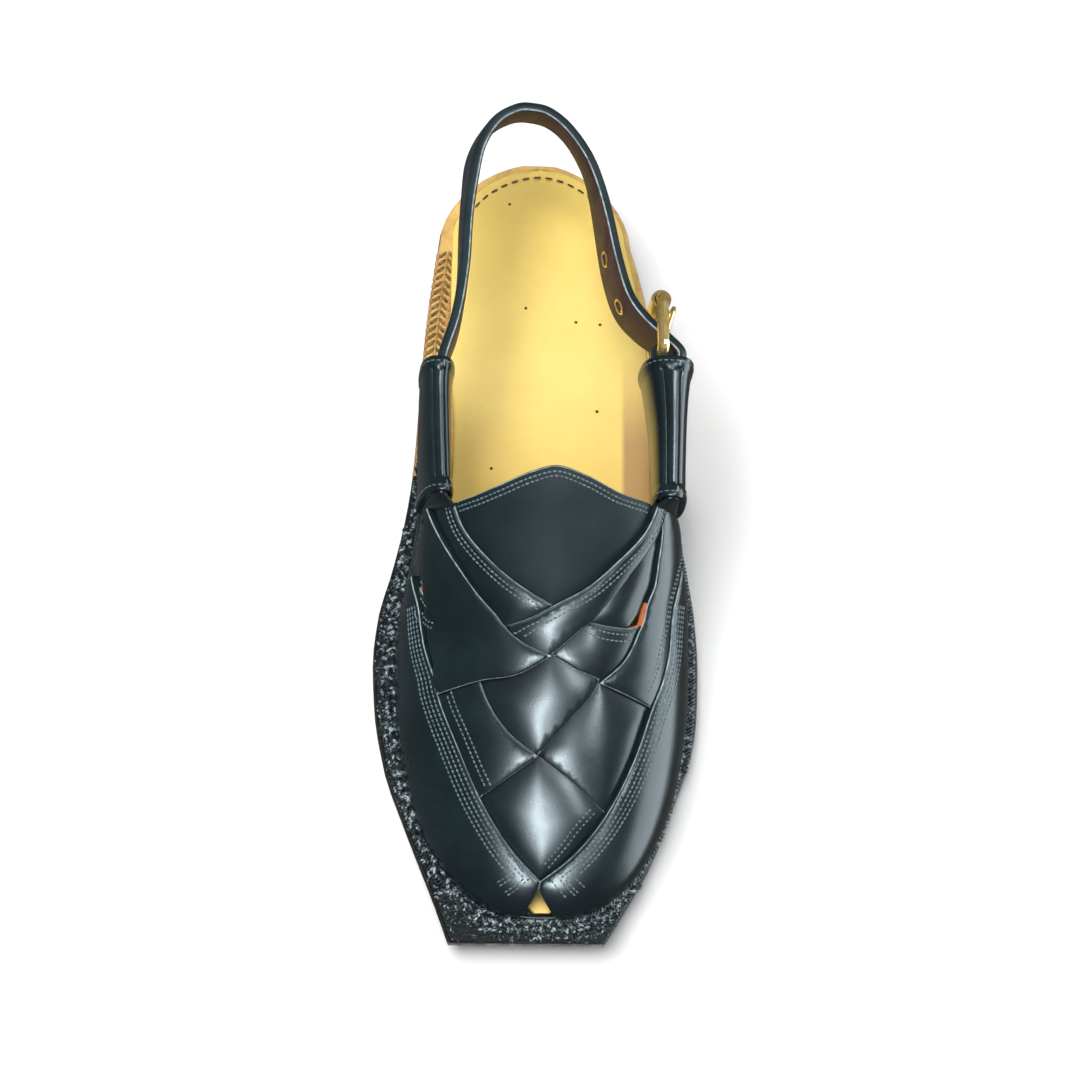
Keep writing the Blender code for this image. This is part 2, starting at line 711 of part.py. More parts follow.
def build_upper():
    """One hollow wall on the last, each cell of the weave at its own height, with its openings cut."""
    loops = cell_loops()
    places, index_of, faces_in, edges = [], {}, [], []
    for _, _, loop in loops:
        face = []
        for spot in loop:
            key = (round(spot[0], 6), round(spot[1], 6))
            if key not in index_of:
                index_of[key] = len(places)
                places.append(spot)
            face.append(index_of[key])
        corners = [flat(places[index]) for index in face]
        turned = sum(a.x * b.y - b.x * a.y for a, b in zip(corners, corners[1:] + corners[:1]))
        if turned < 0:
            face.reverse()
        faces_in.append(face)
        edges.extend(zip(face, face[1:] + face[:1]))
    segments = [(flat(places[a]), flat(places[b])) for a, b in edges]
    columns = math.ceil(1 / GRID_ACROSS)
    for row in range(math.ceil((1 - WING_FOOT) / GRID_ALONG)):
        along = WING_FOOT + row * GRID_ALONG
        for column in range(-columns, columns):
            across = (column + 0.5 * (row % 2)) * GRID_ACROSS
            if not inside_last(across, along, FEATHER_MARGIN):
                continue
            spot = flat((across, along))
            if min(distance_to_segment(spot, a, b) for a, b in segments) > GRID_MARGIN:
                places.append((across, along))
    flat_places = [flat(spot) for spot in places]
    result = delaunay_2d_cdt(flat_places, [], faces_in, 0, MERGE, True)
    triangles, source_points, source_faces = result[2], result[3], result[5]
    spots = [places[origin[0]] for origin in source_points]
    heights = [height for _, height, _ in loops]
    cells = [(tri, heights[source[0]]) for tri, source in zip(triangles, source_faces) if source]

    base, normals, levels, directed = [], [], [set() for _ in spots], {}
    for spot in spots:
        base.append(last_point(*spot))
        normals.append(last_normal(*spot))
    for tri, height in cells:
        for a, b in zip(tri, list(tri[1:]) + [tri[0]]):
            directed[(a, b)] = height
            levels[a].add(height)
    for a, b in directed:
        if (b, a) not in directed:
            levels[a].add(0.0)
            levels[b].add(0.0)

    points, point_of = [], {}

    def corner(spot, level):
        if (spot, level) not in point_of:
            point_of[(spot, level)] = len(points)
            raised = base[spot] + normals[spot] * level
            raised.z += underside(HEEL_SETBACK - raised.y) - underside(HEEL_SETBACK - base[spot].y)
            points.append(raised)
        return point_of[(spot, level)]

    faces = []
    for tri, height in cells:
        faces.append(tuple(corner(spot, height) for spot in tri))
        faces.append(tuple(corner(spot, 0.0) for spot in reversed(tri)))
    for (a, b), height in directed.items():
        other = directed.get((b, a), 0.0)
        if height <= other:
            continue
        chain_a = [corner(a, level) for level in sorted(levels[a]) if other <= level <= height]
        chain_b = [corner(b, level) for level in sorted(levels[b]) if other <= level <= height]
        while len(chain_a) > 1 or len(chain_b) > 1:
            if len(chain_a) >= len(chain_b):
                faces.append((chain_b[-1], chain_a[-1], chain_a[-2]))
                chain_a.pop()
            else:
                faces.append((chain_b[-1], chain_a[-1], chain_b[-2]))
                chain_b.pop()
    return add_object("upper", points, faces, UPPER_LEATHER, 0.28, sharp=25.0)


def strap_rings():
    """Rings of the heel strap: bottom outer, bottom inner, top inner, top outer at each place."""
    route = smooth_route(STRAP_ROUTE, STRAP_PER_SPAN)
    tops = [place(a * HALF_BALL, s * SOLE_LENGTH, h * INSTEP_HEIGHT) for a, s, h, _ in route]
    rings, frames = [], []
    for index, top in enumerate(tops):
        ahead = tops[min(index + 1, len(tops) - 1)] - tops[max(index - 1, 0)]
        ahead.z = 0.0
        ahead.normalize()
        outward = Vector((-ahead.y, ahead.x, 0.0))
        lean = route[index][3]
        down = (Vector((0, 0, -1)) + outward * lean).normalized()
        face = down.cross(ahead).normalized()
        if face.dot(outward) < 0:
            face = -face
        bottom = top + down * STRAP_HEIGHT
        rings.append([bottom, bottom - face * STRAP_THICK, top - face * STRAP_THICK, top])
        frames.append(((top + bottom) / 2 - face * STRAP_THICK / 2, ahead, face, -down))
    return rings, frames


def strap_frame(frames, share):
    """Centre and directions of the strap at a share of its rings."""
    return frames[round(share * (len(frames) - 1))]


def build_heel_strap():
    """The leather band round the heel, with its eyelet holes and the prong's hole."""
    rings, frames = strap_rings()
    strap = loft("heel_strap", rings, STRAP_LEATHER, 0.35)
    for number, share in enumerate(EYELET_PLACES):
        centre, ahead, face, up = strap_frame(frames, share)
        radius = EYELET_BORE / 2 + EYELET_WALL + GAP
        cut = tube_rings(centre, ahead, face, up, radius, STRAP_THICK)
        combine(strap, f"eyelet_hole_{number + 1}", "DIFFERENCE", *cut)
    centre, ahead, face, up = strap_frame(frames, PRONG_HOLE_PLACE)
    half_length, half_height, depth = PRONG_HOLE_LENGTH / 2, PRONG / 2 + 2 * GAP, STRAP_THICK
    corners = [centre + ahead * half_length * x + up * half_height * z + face * depth * y
               for y in (-1, 1) for x, z in ((-1, -1), (1, -1), (1, 1), (-1, 1))]
    combine(strap, "prong_hole", "DIFFERENCE", corners, BOX_FACES)
    return frames


def tube_rings(centre, ahead, face, up, radius, half_length):
    """A cylinder across the strap."""
    sides = 16
    points = []
    for end in (-1, 1):
        points += circle(centre + face * half_length * end, ahead, up, radius, sides)
    faces = [tuple(range(sides)), tuple(range(sides, 2 * sides))]
    for side in range(sides):
        nxt = (side + 1) % sides
        faces.append((side, nxt, sides + nxt, sides + side))
    return points, faces


def build_eyelets(frames):
    """Brass eyelets: a short tube with a flange outside the strap."""
    sides = 14
    for number, share in enumerate(EYELET_PLACES):
        centre, ahead, face, up = strap_frame(frames, share)
        bore, body = EYELET_BORE / 2, EYELET_BORE / 2 + EYELET_WALL
        flange = EYELET_FLANGE / 2
        depth, out = STRAP_THICK / 2, STRAP_THICK / 2 + 2 * GAP
        profile = ((bore, -depth), (body, -depth), (body, out), (flange, out), (flange, out + EYELET_WALL),
                   (bore, out + EYELET_WALL))
        points = []
        for radius, lift in profile:
            points += circle(centre + face * lift, ahead, up, radius, sides)
        faces = []
        for ring in range(len(profile)):
            following = (ring + 1) % len(profile)
            for side in range(sides):
                nxt = (side + 1) % sides
                faces.append((ring * sides + side, ring * sides + nxt, following * sides + nxt,
                              following * sides + side))
        add_object(f"eyelet_{number + 1}", points, faces, BRASS, 0.30, 1.0)


def build_sleeve(name, rows):
    """A wrapped leather tube with raised rims, open at both ends."""
    keyed = sorted((row[1], *row) for row in rows)
    front, rear = rows[0][1], rows[-1][1]
    rim = SLEEVE_RIM_LENGTH / SOLE_LENGTH
    blend = 0.25 * rim
    stops = [front, front - rim, front - rim - blend]
    middle = 8
    for step in range(1, middle):
        stops.append(front - rim - blend + (rear + rim + blend - (front - rim - blend)) * step / middle)
    stops += [rear + rim + blend, rear + rim, rear]
    shells = []
    for inside in (False, True):
        rings = []
        for number, along in enumerate(stops):
            across = read_table(keyed, 1, along) * HALF_BALL
            height = read_table(keyed, 3, along) * INSTEP_HEIGHT
            half_width = read_table(keyed, 4, along) * STRAP_HEIGHT / 2
            lean = read_table(keyed, 5, along)
            half_height = SLEEVE_HEIGHT / 2
            raised = 0.0 if 2 <= number <= len(stops) - 3 else SLEEVE_RIM
            grow = -SLEEVE_WALL if inside else raised
            ring = []
            for turn in range(SLEEVE_SIDES):
                angle = 2 * math.pi * turn / SLEEVE_SIDES
                wide = math.copysign(abs(math.cos(angle)) ** (2 / SLEEVE_SQUARENESS), math.cos(angle))
                tall = math.copysign(abs(math.sin(angle)) ** (2 / SLEEVE_SQUARENESS), math.sin(angle))
                x, z = wide * (half_width + grow), tall * (half_height + grow)
                side = -1 if rows[0][0] > 0 else 1
                ring.append(place(across + x + side * lean * z, along * SOLE_LENGTH, height + z))
            rings.append(ring)
        shells.append(rings)
    outer, inner = shells
    rings = outer + list(reversed(inner))
    return loft(name, rings, UPPER_LEATHER, 0.28, closed=True)


def buckle_spot(along_share):
    """Middle of the buckle at one of its bars."""
    return place(BAR_ACROSS * HALF_BALL, along_share * SOLE_LENGTH, BUCKLE_MIDDLE * INSTEP_HEIGHT)


def build_buckle():
    """A rounded rectangle of rod, a roller on its rear bar and a prong on its front bar."""
    front, rear = buckle_spot(FRONT_BAR_ALONG), buckle_spot(REAR_BAR_ALONG)
    rise = STRAP_HEIGHT / 2 + 2 * GAP + ROD / 2
    middle = (front + rear) / 2
    half = (rear - front).length / 2
    corners = ((1, 1), (-1, 1), (-1, -1), (1, -1))
    route = []
    for number, (y, z) in enumerate(corners):
        centre = middle + Vector((0, y * (half - FRAME_CORNER), z * (rise - FRAME_CORNER)))
        for step in range(6):
            angle = math.pi / 2 * (number + step / 5)
            route.append(centre + Vector((0, math.cos(angle), math.sin(angle))) * FRAME_CORNER)
    rings = []
    for index, point in enumerate(route):
        ahead = (route[(index + 1) % len(route)] - route[index - 1]).normalized()
        side = Vector((1, 0, 0))
        rings.append(circle(point, side, ahead.cross(side), ROD / 2, 12))
    loft("buckle_frame", rings, BRASS, 0.22, 1.0, closed=True, sharp=60.0)

    sides = 24
    reach = rise - FRAME_CORNER - GAP
    points = []
    for radius, lift in ((ROLLER / 2, -reach), (ROLLER / 2, reach), (ROD / 2 + GAP, reach), (ROD / 2 + GAP, -reach)):
        points += circle(rear + Vector((0, 0, lift)), Vector((1, 0, 0)), Vector((0, 1, 0)), radius, sides)
    faces = []
    for ring in range(4):
        for side in range(sides):
            nxt = (side + 1) % sides
            following = (ring + 1) % 4
            faces.append((ring * sides + side, ring * sides + nxt, following * sides + nxt,
                          following * sides + side))
    add_object("buckle_roller", points, faces, BRASS, 0.22, 1.0)
    build_prong(front, rear)


def build_prong(front, rear):
    """A ring about the front bar with a round shank that lies over the roller."""
    bore = ROD / 2 + GAP
    outer = bore + PRONG_RING_WALL
    tall = PRONG / 2
    sides = 24
    tip = rear + Vector((ROLLER / 2 + PRONG / 2 + 4 * GAP, PRONG / 2, 0))
    start = front + Vector((0, outer - PRONG / 4, 0))
    ring_points = []
    for radius, lift in ((outer, -tall), (outer, tall), (bore, tall), (bore, -tall)):
        ring_points += circle(front + Vector((0, 0, lift)), Vector((1, 0, 0)), Vector((0, 1, 0)), radius, sides)
    ring_faces = []
    for ring in range(4):
        for side in range(sides):
            nxt = (side + 1) % sides
            following = (ring + 1) % 4
            ring_faces.append((ring * sides + side, ring * sides + nxt, following * sides + nxt,
                               following * sides + side))
    prong = add_object("buckle_prong", ring_points, ring_faces, BRASS, 0.22, 1.0)
    ahead = (tip - start).normalized()
    side = ahead.cross(Vector((0, 0, 1))).normalized()
    shank = []
    for share, swell in ((0.0, 0.85), (0.3, 0.95), (0.9, 0.95), (1.0, 0.55)):
        shank.append(circle(start + (tip - start) * share, side, Vector((0, 0, 1)), PRONG / 2 * swell, 10))
    count = len(shank[0])
    points = [point for ring in shank for point in ring]
    faces = [tuple(range(count)), tuple(range(3 * count, 4 * count))]
    for ring in range(3):
        for turn in range(count):
            nxt = (turn + 1) % count
            faces.append((ring * count + turn, ring * count + nxt, (ring + 1) * count + nxt,
                          (ring + 1) * count + turn))
    combine(prong, "prong_shank", "UNION", points, faces)


def build_chape():
    """The short strap that holds the buckle: an eye round the front bar and a band into the outer sleeve."""
    front = buckle_spot(FRONT_BAR_ALONG)
    bore = ROD / 2 + GAP
    outer = bore + CHAPE_EYE_WALL
    route = [place(a * HALF_BALL, s * SOLE_LENGTH, 0.0) for a, s in smooth_route(CHAPE_ROUTE, 3)]
    left, right = [], []
    for index, point in enumerate(route):
        ahead = (route[min(index + 1, len(route) - 1)] - route[max(index - 1, 0)]).normalized()
        normal = Vector((-ahead.y, ahead.x, 0.0))
        left.append(point + normal * CHAPE_THICK / 2)
        right.append(point - normal * CHAPE_THICK / 2)
    eye = []
    turns = 18
    spread = math.asin(CHAPE_THICK / 2 / outer)
    for turn in range(turns + 1):
        angle = -math.pi / 2 + spread + (2 * math.pi - 2 * spread) * turn / turns
        eye.append(Vector((front.x + outer * math.cos(angle), front.y + outer * math.sin(angle), 0.0)))
    sides = (left, right) if left[0].x > right[0].x else (right, left)
    boundary = list(reversed(sides[0])) + eye + sides[1]
    hole = [Vector((front.x + bore * math.cos(2 * math.pi * turn / turns),
                    front.y + bore * math.sin(2 * math.pi * turn / turns), 0.0)) for turn in range(turns)]
    flat_points = [point.to_2d() for point in boundary + hole]
    rim = list(range(len(boundary)))
    inner = list(range(len(boundary), len(flat_points)))
    rim_edges = list(zip(rim, rim[1:] + rim[:1]))
    hole_edges = list(zip(inner, inner[1:] + inner[:1]))
    flat_result = delaunay_2d_cdt(flat_points, rim_edges + hole_edges, [], 0, MERGE, True)
    spots, triangles = flat_result[0], flat_result[2]
    origin = [source[0] for source in flat_result[3]]
    kept = [tri for tri in triangles if band_holds(spots, tri, flat_points, len(boundary), front, bore)]
    half = CHAPE_HEIGHT / 2
    points, faces = [], []
    climbs = climb_table(flat_points, front)
    for level in (-1, 1):
        for spot, climb in zip(flat_points, climbs):
            points.append(Vector((spot.x, spot.y, front.z + climb + level * half)))
    count = len(flat_points)
    for tri in kept:
        a, b, c = (origin[index] for index in tri)
        faces.append((a, c, b))
        faces.append((a + count, b + count, c + count))
    for a, b in rim_edges + hole_edges:
        faces.append((a, b, b + count, a + count))
    chape = add_object("chape", points, faces, STRAP_LEATHER, 0.40)
    slot = PRONG_SLOT / 2
    reach = outer + GAP
    ahead = bore + PRONG_RING_WALL + GAP
    corners = [front + Vector((reach * x, y, slot * z))
               for z in (-1, 1) for x, y in ((-1, -ahead), (1, -ahead), (1, reach), (-1, reach))]
    combine(chape, "prong_slot", "DIFFERENCE", corners, BOX_FACES)


def climb_table(flat_points, front):
    """How far each flat point of the chape sits over the buckle's middle, as the sleeve runs down."""
    slope = (SLEEVE_OUT[0][2] - BUCKLE_MIDDLE) * INSTEP_HEIGHT
    run = (SLEEVE_OUT[0][1] - FRONT_BAR_ALONG) * SOLE_LENGTH
    return [slope * max(0.0, (front.y - spot.y - ROD) / run) for spot in flat_points]


def band_holds(spots, tri, flat_points, rim_count, front, bore):
    """Whether a flat triangle lies inside the chape's outline and outside its eye."""
    middle = sum((spots[index] for index in tri), Vector((0.0, 0.0))) / 3
    if (middle - front.to_2d()).length < bore * 0.97:
        return False
    inside = False
    for index in range(rim_count):
        a, b = flat_points[index], flat_points[(index + 1) % rim_count]
        if (a.y > middle.y) != (b.y > middle.y):
            if middle.x < a.x + (middle.y - a.y) * (b.x - a.x) / (b.y - a.y):
                inside = not inside
    return inside


def build_sole():
    """Heel, outsole, welt and foot bed."""
    outline = outline_pairs(SOLE_OUTLINE, 0.0)
    breast = HEEL_END * SOLE_LENGTH
    spacing = SOLE_LENGTH / OUTLINE_STATIONS
    heel_rows = [pair for pair in outline if pair[0][1] < breast - spacing / 2]
    heel_rows.append(((-read_table(SOLE_OUTLINE, 1, HEEL_END) * HALF_BALL, breast),
                      (read_table(SOLE_OUTLINE, 2, HEEL_END) * HALF_BALL, breast)))

    def heel_bottom(along):
        return 0.0

    def heel_joint(along):
        return HEEL_TOP_PIECE

    def block_bottom(along):
        return HEEL_TOP_PIECE + GAP

    def block_top(along):
        return HEEL_HEIGHT - GAP

    def outsole_top(along):
        return underside(along) + OUTSOLE_THICK

    def welt_bottom(along):
        return outsole_top(along) + GAP

    def welt_top(along):
        return welt_bottom(along) + WELT_THICK

    def bed_top(along):
        return feather_height(along) + INSOLE_THICK

    layer("heel_top_piece", heel_rows, heel_bottom, heel_joint, HEEL_TOP_SIDE, RUBBER, 0.75)
    layer("heel_block", heel_rows, block_bottom, block_top, HEEL_BLOCK_SIDE, HEEL_EDGE, 0.55)
    layer("outsole", outline, underside, outsole_top, OUTSOLE_SIDE, SOLE_EDGE, 0.60)
    layer("welt", outline, welt_bottom, welt_top, WELT_SIDE, WELT_EDGE, 0.65)
    layer("insole", insole_pairs(), feather_height, bed_top, INSOLE_SIDE, FOOT_BED, 0.50)


def insole_pairs():
    """The foot bed: its own outline behind the vamp and the last's, drawn in a little, under it."""
    pairs = outline_pairs(INSOLE_OUTLINE, INSOLE_SETBACK)
    start = INSOLE_OUTLINE[-1][0]
    steps = 6
    for step in range(1, steps):
        share = start + (FAN_START - start) * step / steps
        along = share * SOLE_LENGTH
        tuck = 1 - step / steps
        inner = -read_table(LAST, 1, share) * HALF_BALL + INSOLE_CLEARANCE
        outer = read_table(LAST, 2, share) * HALF_BALL - INSOLE_CLEARANCE
        inner_rear = -INSOLE_OUTLINE[-1][1] * HALF_BALL
        outer_rear = INSOLE_OUTLINE[-1][2] * HALF_BALL
        blend = max(0.0, tuck * 1.5 - 0.5)
        pairs.append(((inner * (1 - blend) + inner_rear * blend, along),
                      (outer * (1 - blend) + outer_rear * blend, along)))
    shrink = 1 - 2 * INSOLE_CLEARANCE / (FAN_REACH * SOLE_LENGTH)
    widest = max(LAST[-1][1], LAST[-1][2]) * HALF_BALL
    narrow = 1 - INSOLE_CLEARANCE / widest
    for step in range(TOE_TURNS):
        turn = 0.5 * step / TOE_TURNS
        across, along = feather_place(turn)
        outer = last_point(across, along)
        across, along = feather_place(1 - turn)
        inner = last_point(across, along)
        forward = FAN_START * SOLE_LENGTH + (HEEL_SETBACK - outer.y - FAN_START * SOLE_LENGTH) * shrink
        pairs.append(((inner.x * narrow, forward), (outer.x * narrow, forward)))
    return pairs


def main():
    clear_scene()
    build_sole()
    build_upper()
    frames = build_heel_strap()
    build_eyelets(frames)
    build_sleeve("sleeve_inner", SLEEVE_IN)
    build_sleeve("sleeve_outer", SLEEVE_OUT)
    build_buckle()
    build_chape()


main()
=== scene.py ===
"""The finished look of the chappal: leather, seams, braid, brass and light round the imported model.

Metres, +Z up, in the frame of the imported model. The toe points to -Y and the outer side of the foot to +X.
"""
import math
import random

import bpy
import numpy as np
from mathutils import Matrix, Vector
from mathutils.geometry import delaunay_2d_cdt


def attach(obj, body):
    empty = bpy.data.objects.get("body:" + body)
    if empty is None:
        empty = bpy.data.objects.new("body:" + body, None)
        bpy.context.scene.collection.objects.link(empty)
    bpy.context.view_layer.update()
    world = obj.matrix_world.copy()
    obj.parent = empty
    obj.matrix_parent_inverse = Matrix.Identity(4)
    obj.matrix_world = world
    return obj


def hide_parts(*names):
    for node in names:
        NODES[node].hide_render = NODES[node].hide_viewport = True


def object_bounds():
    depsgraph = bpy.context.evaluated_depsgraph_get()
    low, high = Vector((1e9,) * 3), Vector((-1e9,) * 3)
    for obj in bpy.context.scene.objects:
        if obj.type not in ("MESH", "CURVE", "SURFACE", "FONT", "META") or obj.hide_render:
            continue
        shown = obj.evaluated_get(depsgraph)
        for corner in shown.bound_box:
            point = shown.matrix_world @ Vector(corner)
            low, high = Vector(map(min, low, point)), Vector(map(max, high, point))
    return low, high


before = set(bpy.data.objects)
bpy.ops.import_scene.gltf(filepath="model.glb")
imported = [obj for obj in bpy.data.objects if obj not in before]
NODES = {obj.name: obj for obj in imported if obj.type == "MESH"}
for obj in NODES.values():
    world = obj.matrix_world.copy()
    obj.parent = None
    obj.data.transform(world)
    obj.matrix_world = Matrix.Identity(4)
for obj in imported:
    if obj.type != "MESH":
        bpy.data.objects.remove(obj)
CAD_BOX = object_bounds()

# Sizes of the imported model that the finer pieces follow
SOLE_LENGTH = 0.296
HALF_BALL = 0.1185 / 2
HEEL_HEIGHT = 0.014
TOE_SPRING = 0.008
GAP = 0.0003
OUTSOLE_THICK = WELT_THICK = 0.0045
FEATHER = OUTSOLE_THICK + GAP + WELT_THICK + GAP
INSOLE_THICK = 0.003
HEEL_SETBACK = 0.030
INSTEP_HEIGHT = 0.070
WALL = 0.0015
STRAP_STEP = 0.0010
STRAP_HEIGHT = 0.020
STRAP_THICK = 0.0036
SLEEVE_HEIGHT = 0.029
SLEEVE_WALL = 0.0017
HEEL_END, ARCH_END, SPRING_START = 0.25, 0.56, 0.76
RIDGE_ACROSS = 0.017
FAN_START, FAN_REACH, FAN_POWER = 0.642, 0.3095, 2.3
SECTION_ARC = 0.074

SOLE_OUTLINE = (
    # along, inner, outer
    (0.115, 0.645, 0.582),
    (0.149, 0.667, 0.630),
    (0.216, 0.707, 0.700),
    (0.277, 0.733, 0.734),
    (0.338, 0.751, 0.768),
    (0.402, 0.771, 0.802),
    (0.453, 0.803, 0.849),
    (0.490, 0.839, 0.885),
    (0.541, 0.901, 0.950),
    (0.591, 0.969, 0.985),
    (0.649, 0.998, 1.000),
    (0.720, 0.977, 0.986),
    (0.764, 0.937, 0.949),
    (0.791, 0.905, 0.901),
    (0.845, 0.805, 0.793),
    (0.895, 0.706, 0.689),
    (0.949, 0.599, 0.530),
    (0.992, 0.523, 0.392),
)
INSOLE_OUTLINE = (
    (0.115, 0.560, 0.535),
    (0.190, 0.565, 0.610),
    (0.277, 0.560, 0.665),
    (0.370, 0.530, 0.690),
    (0.440, 0.540, 0.700),
    (0.480, 0.600, 0.715),
)
INSOLE_SETBACK = 0.0045
HEEL_ROUND_POWER = 1.8
LAST = (
    # along, inner, outer, rise, fullness
    (0.330, 0.655, 0.695, 1.240, 0.46),
    (0.420, 0.675, 0.720, 1.120, 0.46),
    (0.490, 0.700, 0.755, 1.000, 0.50),
    (0.540, 0.735, 0.800, 0.880, 0.56),
    (0.590, 0.770, 0.830, 0.756, 0.68),
    (0.642, 0.790, 0.838, 0.649, 0.80),
    (0.730, 0.790, 0.838, 0.520, 0.85),
    (0.810, 0.790, 0.838, 0.430, 0.85),
    (0.900, 0.790, 0.838, 0.320, 0.85),
    (0.980, 0.790, 0.838, 0.220, 0.85),
)
CROSSINGS = {
    # name: (across, along) on the last
    "collar_in": (-0.408, 0.507), "collar_1": (-0.312, 0.504), "collar_2": (-0.212, 0.497),
    "collar_3": (-0.100, 0.486), "collar_peak": (-0.005, 0.480), "collar_4": (0.100, 0.488),
    "collar_5": (0.232, 0.501), "collar_out": (0.400, 0.505), "first_1": (-0.352, 0.535),
    "first_2": (-0.271, 0.562), "first_3": (-0.171, 0.589), "first_4": (-0.076, 0.608),
    "cross_top": (0.000, 0.620), "second_1": (0.335, 0.535), "second_2": (0.233, 0.568),
    "second_3": (0.128, 0.598), "second_4": (-0.086, 0.633), "cross_in": (-0.181, 0.642),
    "third_start": (-0.565, 0.503), "third_1": (-0.477, 0.532), "third_2": (-0.378, 0.569),
    "third_3": (-0.293, 0.603), "third_4": (-0.213, 0.630), "third_5": (-0.112, 0.652),
    "cross_mid": (0.002, 0.660), "third_left_1": (-0.590, 0.535), "gap_in_top": (-0.575, 0.566),
    "gap_in_left": (-0.640, 0.585), "gap_in_low": (-0.560, 0.607), "third_left_2": (-0.475, 0.635),
    "third_left_3": (-0.500, 0.662), "band_1": (0.214, 0.613), "band_2": (0.292, 0.580),
    "band_3": (0.402, 0.536), "band_fork": (0.442, 0.516), "band_start": (0.470, 0.503),
    "bar_in": (0.149, 0.636), "bar_1": (0.226, 0.639), "gap_out_in": (0.330, 0.6385),
    "gap_out_low": (0.384, 0.634), "gap_out_top": (0.398, 0.608), "outer_1": (0.422, 0.588),
    "outer_2": (0.426, 0.560), "outer_3": (0.314, 0.660), "cross_out": (0.200, 0.677),
    "bar_low": (0.105, 0.669), "right_1": (0.308, 0.684), "panel_out_mid": (0.465, 0.695),
    "tile_1": (-0.129, 0.672), "tile_left": (-0.287, 0.677), "tile_2": (-0.243, 0.693),
    "tile_3": (-0.166, 0.710), "tile_low": (-0.042, 0.726), "tile_4": (0.069, 0.704),
    "panel_in_upper": (-0.515, 0.676), "panel_in_mid": (-0.495, 0.688), "left_1": (-0.394, 0.724),
    "panel_in_low": (-0.295, 0.762), "left_2": (-0.167, 0.743), "right_2": (0.383, 0.733),
    "panel_out_low": (0.271, 0.774), "right_3": (0.110, 0.746), "toe_in": (-0.173, 0.802),
    "toe_out": (0.146, 0.808), "toe_seam": (-0.020, 0.843), "peep_top": (-0.030, 0.856),
    "panel_in_1": (-0.586, 0.646), "panel_in_2": (-0.623, 0.605), "panel_in_rear": (-0.711, 0.568),
    "panel_out_1": (0.525, 0.675), "panel_out_2": (0.573, 0.648), "panel_out_3": (0.577, 0.600),
    "panel_out_rear": (0.640, 0.560), "bunch_in": (-0.725, 0.503), "bunch_out": (0.725, 0.503),
    "wing_in_1": (-0.780, 0.482), "wing_in_2": (-0.860, 0.440), "wing_in_3": (-0.950, 0.398),
    "wing_out_1": (0.780, 0.482), "wing_out_2": (0.860, 0.440), "wing_out_3": (0.950, 0.398),
}
WING_FOOT, PANEL_FOOT, PEEP_IN, PEEP_OUT = 0.375, 0.590, 0.170, 0.120

# Edges that run smoothly through several crossings
COLLAR = "collar_in collar_1 collar_2 collar_3 collar_peak collar_4 collar_5 collar_out"
FIRST_EDGE = "collar_in first_1 first_2 first_3 first_4 cross_top"
SECOND_EDGE = "collar_out second_1 second_2 second_3 cross_top second_4 cross_in"
TILE_EDGE = "tile_left tile_2 tile_3 tile_low"
OUTER_GAP_EDGE = "bar_in bar_1 gap_out_in gap_out_low"
INNER_PANEL_EDGE = "panel_in_2 panel_in_1 panel_in_upper panel_in_mid left_1 panel_in_low toe_in toe_seam"
OUTER_PANEL_EDGE = ("panel_out_3 panel_out_2 panel_out_1 panel_out_mid right_2 panel_out_low toe_out "
                    "toe_seam")
CURVES = (
    COLLAR,
    FIRST_EDGE,
    SECOND_EDGE,
    "third_start third_1 third_2 third_3 third_4 cross_in third_5 cross_mid",
    "third_start third_left_1 gap_in_top",
    "gap_in_low third_left_2 third_left_3 panel_in_upper",
    "cross_mid tile_1 tile_left panel_in_mid",
    "band_start band_fork band_3 band_2 band_1 bar_in cross_mid",
    OUTER_GAP_EDGE,
    "band_fork outer_2 outer_1 gap_out_top gap_out_low outer_3 cross_out",
    "cross_out right_1 panel_out_mid",
    "cross_mid bar_low cross_out tile_4 tile_low",
    TILE_EDGE,
    "tile_low right_3 panel_out_low",
    "tile_low left_2 panel_in_low",
    "panel_in_rear " + INNER_PANEL_EDGE,
    "panel_out_rear " + OUTER_PANEL_EDGE,
    "third_start bunch_in wing_in_1 wing_in_2 wing_in_3",
    "band_start bunch_out wing_out_1 wing_out_2 wing_out_3",
)
